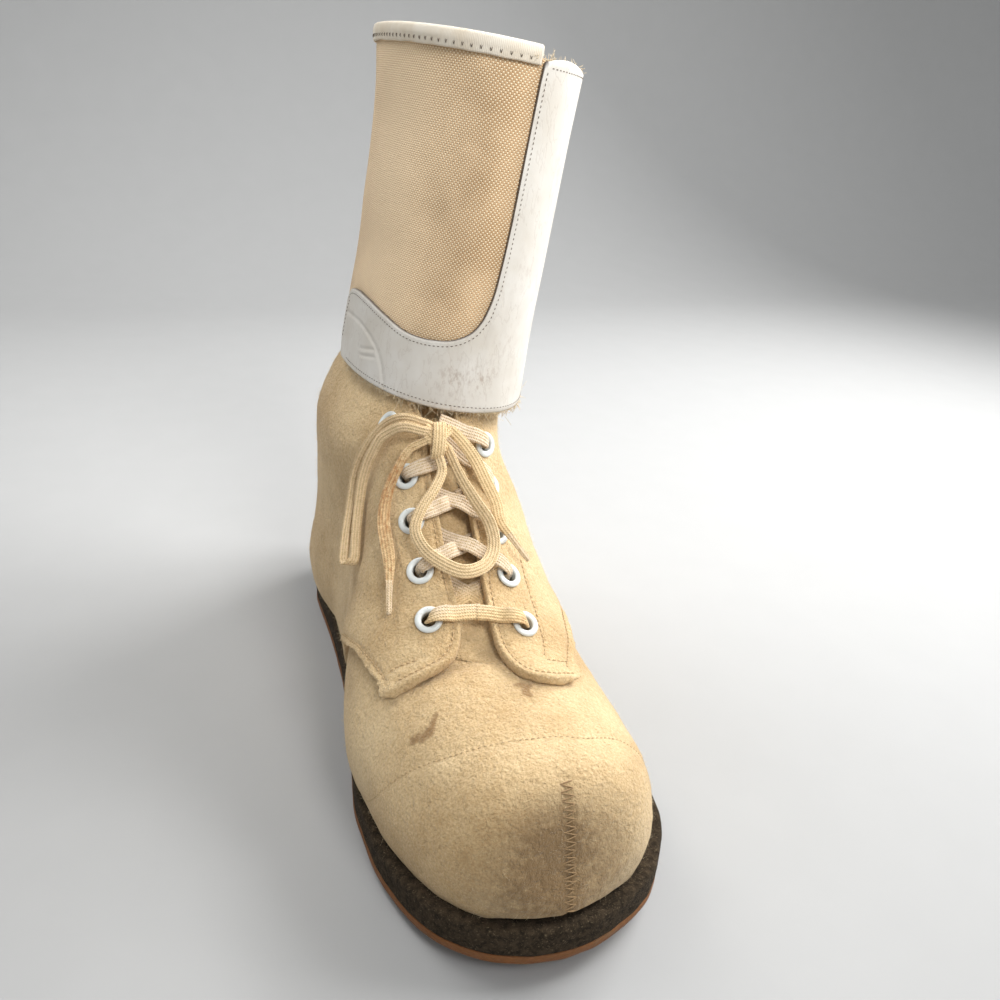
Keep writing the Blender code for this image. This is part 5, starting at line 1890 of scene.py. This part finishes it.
def paint_cloth(mesh, quads, angles, heights):
    """The lengths round the canvas and up it at the corners of its faces. Where the two ends of the
    round meet, the last faces go on to a whole number of the weave's repeats."""
    known, at = cuff_lengths()
    around = np.broadcast_to(np.interp(angles, known, at), heights.shape)
    cloth = np.stack([around, heights, 0 * heights], -1).reshape(-1, 3)
    corners = np.concatenate([cloth, cloth])[quads]
    last = corners[:, :, 0].max(1) - corners[:, :, 0].min(1) > at[-1]
    whole = round((at[-1] - at[0]) / (2 * CANVAS_PITCH)) * (2 * CANVAS_PITCH)
    corners[last, :, 0] += whole * (corners[last, :, 0] < 0)
    attribute = mesh.attributes.new("cloth", "FLOAT_VECTOR", "CORNER")
    attribute.data.foreach_set("vector", corners.astype(np.float32).ravel())


def paint_canvas(mesh, angles, heights):
    """Dirt near the foot and on the front, and a faded side."""
    low = np.exp(-(((heights - 20) / 25) ** 2)) * 0.35
    patch = np.exp(-(((angles + 28) / 20) ** 2) - ((heights - 95) / 55) ** 2) * 0.5
    dirt = low * (np.abs(angles) < 120) + patch
    faded = 0.75 * np.exp(-(((angles + 75) / 36) ** 2)) + 0 * heights
    for name, value in (("dirt", dirt), ("faded", faded)):
        paint(mesh, name, np.tile(value.ravel(), 2))


def make_canvas():
    """The canvas tube, cut lower behind the leather that stands over it."""
    angles = even_angles(-180, 180, CANVAS_COLUMNS + 1)[:-1]
    top = CUFF_TOP - 3.3 * smoothstep(angles, 3.5, 5.5) * (1 - smoothstep(angles, 98, 101))
    heights = -1 + np.linspace(0, 1, CANVAS_ROWS)[:, None] * (top + 1)
    over = canvas_waves(angles, heights)
    faces = [cuff(angles[None, :], heights, over + extra) for extra in (0, -CANVAS + 0.15)]
    points, quads = shell(*faces, True)
    mesh = new_mesh("canvas", points, quads)
    paint_cloth(mesh, quads, angles, heights)
    paint_canvas(mesh, angles, heights)
    obj = piece("canvas_cuff", mesh, CREAM_CANVAS, "cream_canvas", "cuff_canvas")


def leather_grid():
    """(angles, low, top) of the leather panel's columns, close together where its top edge rises."""
    dense = flat_spline([(angle * DEGREE, height) for angle, height in LEATHER_TOP], 1.1)
    dense = dense[np.append(True, np.diff(dense[:, 0]) > 1e-4)]
    angles = np.maximum.accumulate(dense[:, 0] / DEGREE)
    top = np.minimum(dense[:, 1], 142.0)
    low = LEATHER_LOW + 9 * smoothstep(np.abs(angles), 93, 99) ** 2 * (angles < 0)
    low = low + 14 * smoothstep(angles, 90, 99) ** 2
    return angles, low, top


def leather_mesh(name, angles, heights, over, raw, scuff):
    """A leather wall on the cuff, its outer face this far over the canvas."""
    outer = cuff(angles[None, :], heights, over)
    inner = cuff(angles[None, :], heights, np.broadcast_to(GAP, heights.shape))
    mesh = new_mesh(name, *shell(outer, inner, False))
    paint(mesh, "raw", np.append(raw, np.full(heights.size, RAW_BACK)))
    paint(mesh, "scuff", np.append(scuff, scuff))
    return mesh


def make_leather():
    """The leather panel: a band round the front that rises to the full height at the lateral side."""
    angles, low, top = leather_grid()
    share = np.concatenate([[0, 0.006, 0.018], np.linspace(0.04, 0.96, 60), [0.982, 0.994, 1]])[:, None]
    heights = low + share * (top - low)
    bulge = np.array([[noise.noise(Vector((a / 14, h / 22, 3))) for a in angles] for h in heights[::1, 0]])
    over = 0.25 * np.abs(bulge) * np.sin(np.pi * share)
    soft = np.minimum(1, np.sqrt(np.clip(np.minimum(share, 1 - share) * (top - low) / 0.6, 0, 1)))
    over = GAP + 0.9 + 0.7 * soft + over - impressed(angles[None, :], heights)
    edge = np.minimum(heights - low, top - heights) + 0 * share
    # Painted dark along the edge over the canvas: its raw edge, with painted shade in the gap there.
    raw = np.zeros(heights.shape)
    near_canvas = (angles > -95) & (angles < 7.2)
    raw[-1] = 1.0 * near_canvas
    raw[-2] = 0.6 * near_canvas
    scuff = scuffs(angles[None, :], heights) + 0.3 * np.exp(-edge / 2.0)
    mesh = leather_mesh("leather", angles, heights, over, raw, scuff)
    obj = piece("leather_panel", mesh, WHITE_LEATHER, "white_leather", "cuff_leather")
    return angles, low, top


def impressed(angle, height):
    """How deep the leather is pressed by the tab's curved line and its two short dashes."""
    marks = [(a, h, 0.45, 0.8) for a, h in flat_spline(TAB_LINE, 1)]
    for a, h in TAB_DASHES:
        marks += [(a + 10.5 * share, h + 3 * share, 0.4, 0.5) for share in np.linspace(0, 1, 14)]
    depth = np.zeros(np.broadcast(angle, height).shape)
    for a, h, deep, spread in marks:
        away = ((angle - a) * 0.9) ** 2 + (height - h) ** 2
        depth = np.maximum(depth, deep * np.exp(-away / spread))
    return depth


def scuffs(angle, height):
    """How scuffed the leather is at these places."""
    worn = np.zeros(np.broadcast(angle, height).shape)
    for a, h, reach, amount in SCUFFS:
        worn += amount * np.exp(-(((angle - a) / reach) ** 2 + ((height - h) / reach) ** 2))
    return worn


def cuff_line(rows, over):
    """A line on the cuff through rows of (angle, height), and the way out along it."""
    dense = flat_spline([(a * DEGREE, h) for a, h in rows], 0.5)
    angle, height = dense[:, 0] / DEGREE, dense[:, 1]
    return cuff(angle, height, over), cuff_outward(angle, height)


def make_cuff_stitches(angles, low, top):
    """Rows of dark stitches just inside the leather's edges."""
    upper = beside(np.stack([angles * DEGREE, top], -1), -2.3)
    upper = upper[(upper[:, 0] < 5.5 * DEGREE + 2.6) & (upper[:, 1] < 137.5)]
    lines = [
        [(a / DEGREE, h) for a, h in upper[::4]],
        [(a, 137.8) for a in np.arange(9, 92, 4.0)],
        [(a, h + 2.6) for a, h in zip(angles[::6], low[::6]) if -94 < a < 96],
        [(-96.2, 6), (-96.6, 12), (-96.4, 20), (-94, 27)],
        [(96.2, 12), (96.4, 60), (96.4, 118), (94.5, 130)],
    ]
    made = []
    for row in lines:
        line, outward = cuff_line(row, GAP + LEATHER)
        made.append(stitches(line, 1.95, 0.58, 0.15, 0.1, 0.02, outward))
    thread_piece("leather_stitches", made, 0.17, DARK_THREAD, "white_leather", 5)


def tape_section(low, high):
    """The folded tape's section, as rows of (how far over the canvas's outer face, height)."""
    inside = -CANVAS - 2 * GAP
    turn_over = np.radians(np.linspace(0, 180, 9))
    middle, half = (GAP + TAPE + inside - TAPE) / 2, (GAP + 2 * TAPE - inside) / 2
    rim = [(middle + half * np.cos(a), high + GAP + (TAPE + 0.2) * np.sin(a)) for a in turn_over]
    outer = [
        (GAP, low),
        (GAP + 0.6 * TAPE, low - 0.1),
        (GAP + TAPE, low + 0.5),
        (GAP + TAPE - 0.25, high - BINDING_SEWN),
        (GAP + TAPE + 0.1, high - 2.8),
        (GAP + TAPE + 0.3, high - 1.2),
    ]
    section = outer + rim + [(inside - TAPE, low + 0.5), (inside - 0.6 * TAPE, low), (inside, low)]
    return section + [(inside, high), (GAP, high)]


def make_binding():
    """The tape folded over the canvas rim."""
    low, high = CUFF_TOP - BINDING_HEIGHT + 2 * TAPE, CUFF_TOP
    section = tape_section(low, high)
    first, last = BINDING_ENDS
    angles = np.linspace(first, last, 240)
    wave = np.array([0.3 * noise.noise(Vector((a / 9, 0, 5))) for a in angles])
    rings = [cuff(angles, height + wave * (height < low + 1), over) for over, height in section]
    rings = np.stack(rings, 1)
    shape = rings.shape[:2]
    mesh = new_mesh("binding", rings.reshape(-1, 3), *tube_faces(*shape))
    at = lengths(cuff(angles, high, 0))
    cloth = [np.broadcast_to(value, shape) for value in (at[:, None], np.arange(shape[1]), 0.0)]
    paint(mesh, "cloth", np.stack(cloth, -1).reshape(-1, 3))
    obj = piece("tape_binding", mesh, COTTON_TAPE, "cotton_tape", "cuff_binding")


def make_binding_stitches():
    """The slanting stitches through the tape, two threads to each."""
    first, last = BINDING_ENDS
    sewn, level = np.linspace(first - 2, last + 2, 900), CUFF_TOP - BINDING_SEWN
    line = cuff(sewn, level, GAP + TAPE)
    outward = cuff_outward(sewn, np.full(900, level))
    at = lengths(line)
    lines, ways = [], []
    for start in np.arange(3, at[-1] - 4, 3.9):
        for lean in (-0.4, 0.4):
            place = start + lean * np.linspace(1, 0, 5)
            row, out = read_at(place, at, line), read_at(place, at, outward)
            row += np.linspace(0.65, -0.65, 5)[:, None] * np.array([0, 0, 1])
            lines.append(row + (0.22 * np.sin(np.linspace(0, np.pi, 5)) - 0.05)[:, None] * out)
            ways.append(out)
    rows = [(np.array(lines), np.array(ways))]
    thread_piece("binding_stitches", rows, 0.13, DARK_THREAD, "cotton_tape", 5)


def make_straps():
    """Two straps with rounded tips, and a buckle on each."""
    for name, height in STRAPS.items():
        angles = even_angles(*STRAP_ANGLES, 60)
        known, at = cuff_lengths()
        left = np.interp(STRAP_ANGLES[1], known, at) - np.interp(angles, known, at)
        half = STRAP_WIDTH / 2 * np.sqrt(np.clip(1 - (1 - np.clip(left / STRAP_TIP, 0, 1)) ** 2, 0.02, 1))
        share = np.array([-1, -0.985, -0.93, *np.linspace(-0.85, 0.85, 15), 0.93, 0.985, 1])[:, None]
        heights = height + share * half
        soft = np.sqrt(np.clip((1 - np.abs(share)) * half / 0.6, 0, 1))
        plain = np.zeros(heights.shape)
        mesh = leather_mesh(name, angles, heights, GAP + 0.9 + 0.7 * soft, plain, plain + 0.25)
        obj = piece("leather_" + name, mesh, WHITE_LEATHER, "white_leather", name)
        make_buckle(name, height)


def rounded_bar(points, radius):
    """A round closed bar through points."""
    out = np.broadcast_to(np.array([0.31, 0.87, 0.38]), points.shape)
    return tubes(points[None], out[None], np.full(len(points), radius)[None], BAR_SIDES)


def round_ring(points, outward, radius):
    """A round bar that follows a closed line of points."""
    tangent = unit(np.roll(points, -1, 0) - np.roll(points, 1, 0))
    side = np.cross(outward, tangent)
    angle = np.arange(BAR_SIDES) * 2 * np.pi / BAR_SIDES
    spread = np.cos(angle)[:, None] * side[:, None] + np.sin(angle)[:, None] * outward
    rings = points[:, None] + radius * spread
    return rings.reshape(-1, 3), *tube_faces(len(points), BAR_SIDES, True)


def make_buckle(strap, height):
    """A frame of round bar with a middle bar and a prong."""
    name = strap.replace("strap", "buckle")
    low, high = (np.array(corner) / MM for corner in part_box(name))
    point = (low + high) / 2
    outward = cuff_outward(np.array([float(BUCKLE_ANGLE)]), np.array([float(height)]))[0]
    across = unit(np.cross([0, 0, 1], outward))
    up = np.cross(outward, across)
    half_wide, half_tall = ((size - BUCKLE_BAR) / 2 for size in BUCKLE)
    ring = []
    for quarter, (sx, sy) in enumerate(((1, 1), (-1, 1), (-1, -1), (1, -1))):
        for angle in np.radians(90 * quarter + np.linspace(0, 90, 7)):
            a = sx * (half_wide - BUCKLE_CORNER) + BUCKLE_CORNER * np.cos(angle)
            b = sy * (half_tall - BUCKLE_CORNER) + BUCKLE_CORNER * np.sin(angle)
            ring.append(point + a * across + b * up)
    bar = np.linspace(point - half_tall * up, point + half_tall * up, 5)
    prong = [(0, 1.2), (3, 1.7), (7, 1.6), (half_wide + 0.6, 1.2)]
    prong = np.array([point + a * across + b * outward for a, b in prong])
    parts = [round_ring(np.array(ring), outward, BUCKLE_BAR / 2)]
    parts += [rounded_bar(bar, BUCKLE_BAR / 2 - 0.2), rounded_bar(prong, 1.0)]
    piece("steel_" + name, new_mesh(name, *joined(parts)), BLACK_STEEL, "black_steel", name)


def hanging_threads(points, outward, way, length, curl):
    """Lines of loose threads from points, which curl as they go."""
    count = len(points)
    steps = np.linspace(0, 1, 6)
    bend = RANDOM.normal(size=(count, 3)) * curl
    lines = points[:, None] + (way * length[:, None])[:, None] * steps[:, None]
    lines = lines + (bend * length[:, None])[:, None] * (steps**2)[:, None]
    phase = steps[None, :] * RANDOM.uniform(4, 9, (count, 1))
    wiggle = np.sin(phase)[..., None] * unit(bend)[:, None] * 0.35
    return lines + wiggle * steps[:, None], np.broadcast_to(outward[:, None], lines.shape)


# How many raw fibres hang from the leather band, and stand along the frayed top.
FOOT_FRAYS = 900
TOP_FRAYS = 420


def make_frays(angles, low):
    """The raw fibres under the leather band and along the frayed top at the lateral side."""
    count = FOOT_FRAYS
    picked = RANDOM.uniform(-90, 92, count)
    base = np.interp(picked, angles, low)
    outward = cuff_outward(picked, base)
    points = cuff(picked, base + 0.4, RANDOM.uniform(GAP + 0.1, GAP + 1.2, count))
    down = unit(np.array([0, 0, -1.0]) + 0.5 * RANDOM.normal(size=(count, 3)))
    length = RANDOM.gamma(2.2, 0.75, count).clip(0.5, 6)
    rows = [hanging_threads(points, outward, down, length, 0.5)]

    count = TOP_FRAYS
    picked = RANDOM.uniform(1, 92, count)
    top = CUFF_TOP - 3.6
    outward = cuff_outward(picked, np.full(count, top))
    points = cuff(picked, np.full(count, top), RANDOM.uniform(-1.4, 1.2, count))
    up = unit(np.array([0, 0, 1.0]) + 0.6 * RANDOM.normal(size=(count, 3)))
    length = RANDOM.gamma(2.0, 0.7, count).clip(0.4, 3.8) * (0.45 + 0.55 * np.exp(-((picked - 4) / 30)))
    rows.append(hanging_threads(points, outward, up, length, 0.5))
    thread_piece("raw_fibres", rows, 0.09, PALE_FIBRE, "cotton_tape", 3)


make_camera()
CREAM_FELT = felt_look()
FLECKED_FELT = flecked_look()
INSOLE_FELT = insole_look()
AMBER_RUBBER = rubber_look()
CREAM_CANVAS = canvas_look()
WHITE_LEATHER = leather_look()
COTTON_TAPE = tape_look()
BRAIDED_COTTON = braid_look()
ENAMELLED_STEEL = enamel_look()
BLACK_STEEL = steel_look()
PALE_THREAD = thread_look("pale_thread", (0.66, 0.47, 0.26))
TOE_THREAD = thread_look("toe_thread", (0.36, 0.23, 0.11))
DARK_THREAD = thread_look("dark_thread", (0.14, 0.105, 0.075))
PALE_FIBRE = thread_look("pale_fibre", (0.86, 0.7, 0.46))
BROWN_FIBRE = thread_look("brown_fibre", (0.15, 0.11, 0.07))

FELT_LAYERS = Felt()
EYELET_PLACES = eyelet_places(FELT_LAYERS)
make_bow(FELT_LAYERS)
make_crossings(FELT_LAYERS, EYELET_PLACES)
UPPER_SEAMS = make_upper(FELT_LAYERS)
make_tongue(FELT_LAYERS)
QUARTER_LINES = make_quarters(FELT_LAYERS, EYELET_PLACES)
make_felt_stitches(QUARTER_LINES, *UPPER_SEAMS, FELT_LAYERS)
make_soles()
make_insole(FELT_LAYERS)
make_eyelets(EYELET_PLACES)
make_canvas()
PANEL = make_leather()
make_cuff_stitches(*PANEL)
make_binding()
make_binding_stitches()
make_straps()
make_frays(*PANEL[:2])
make_fuzz()
make_sole_fuzz()
make_studio()
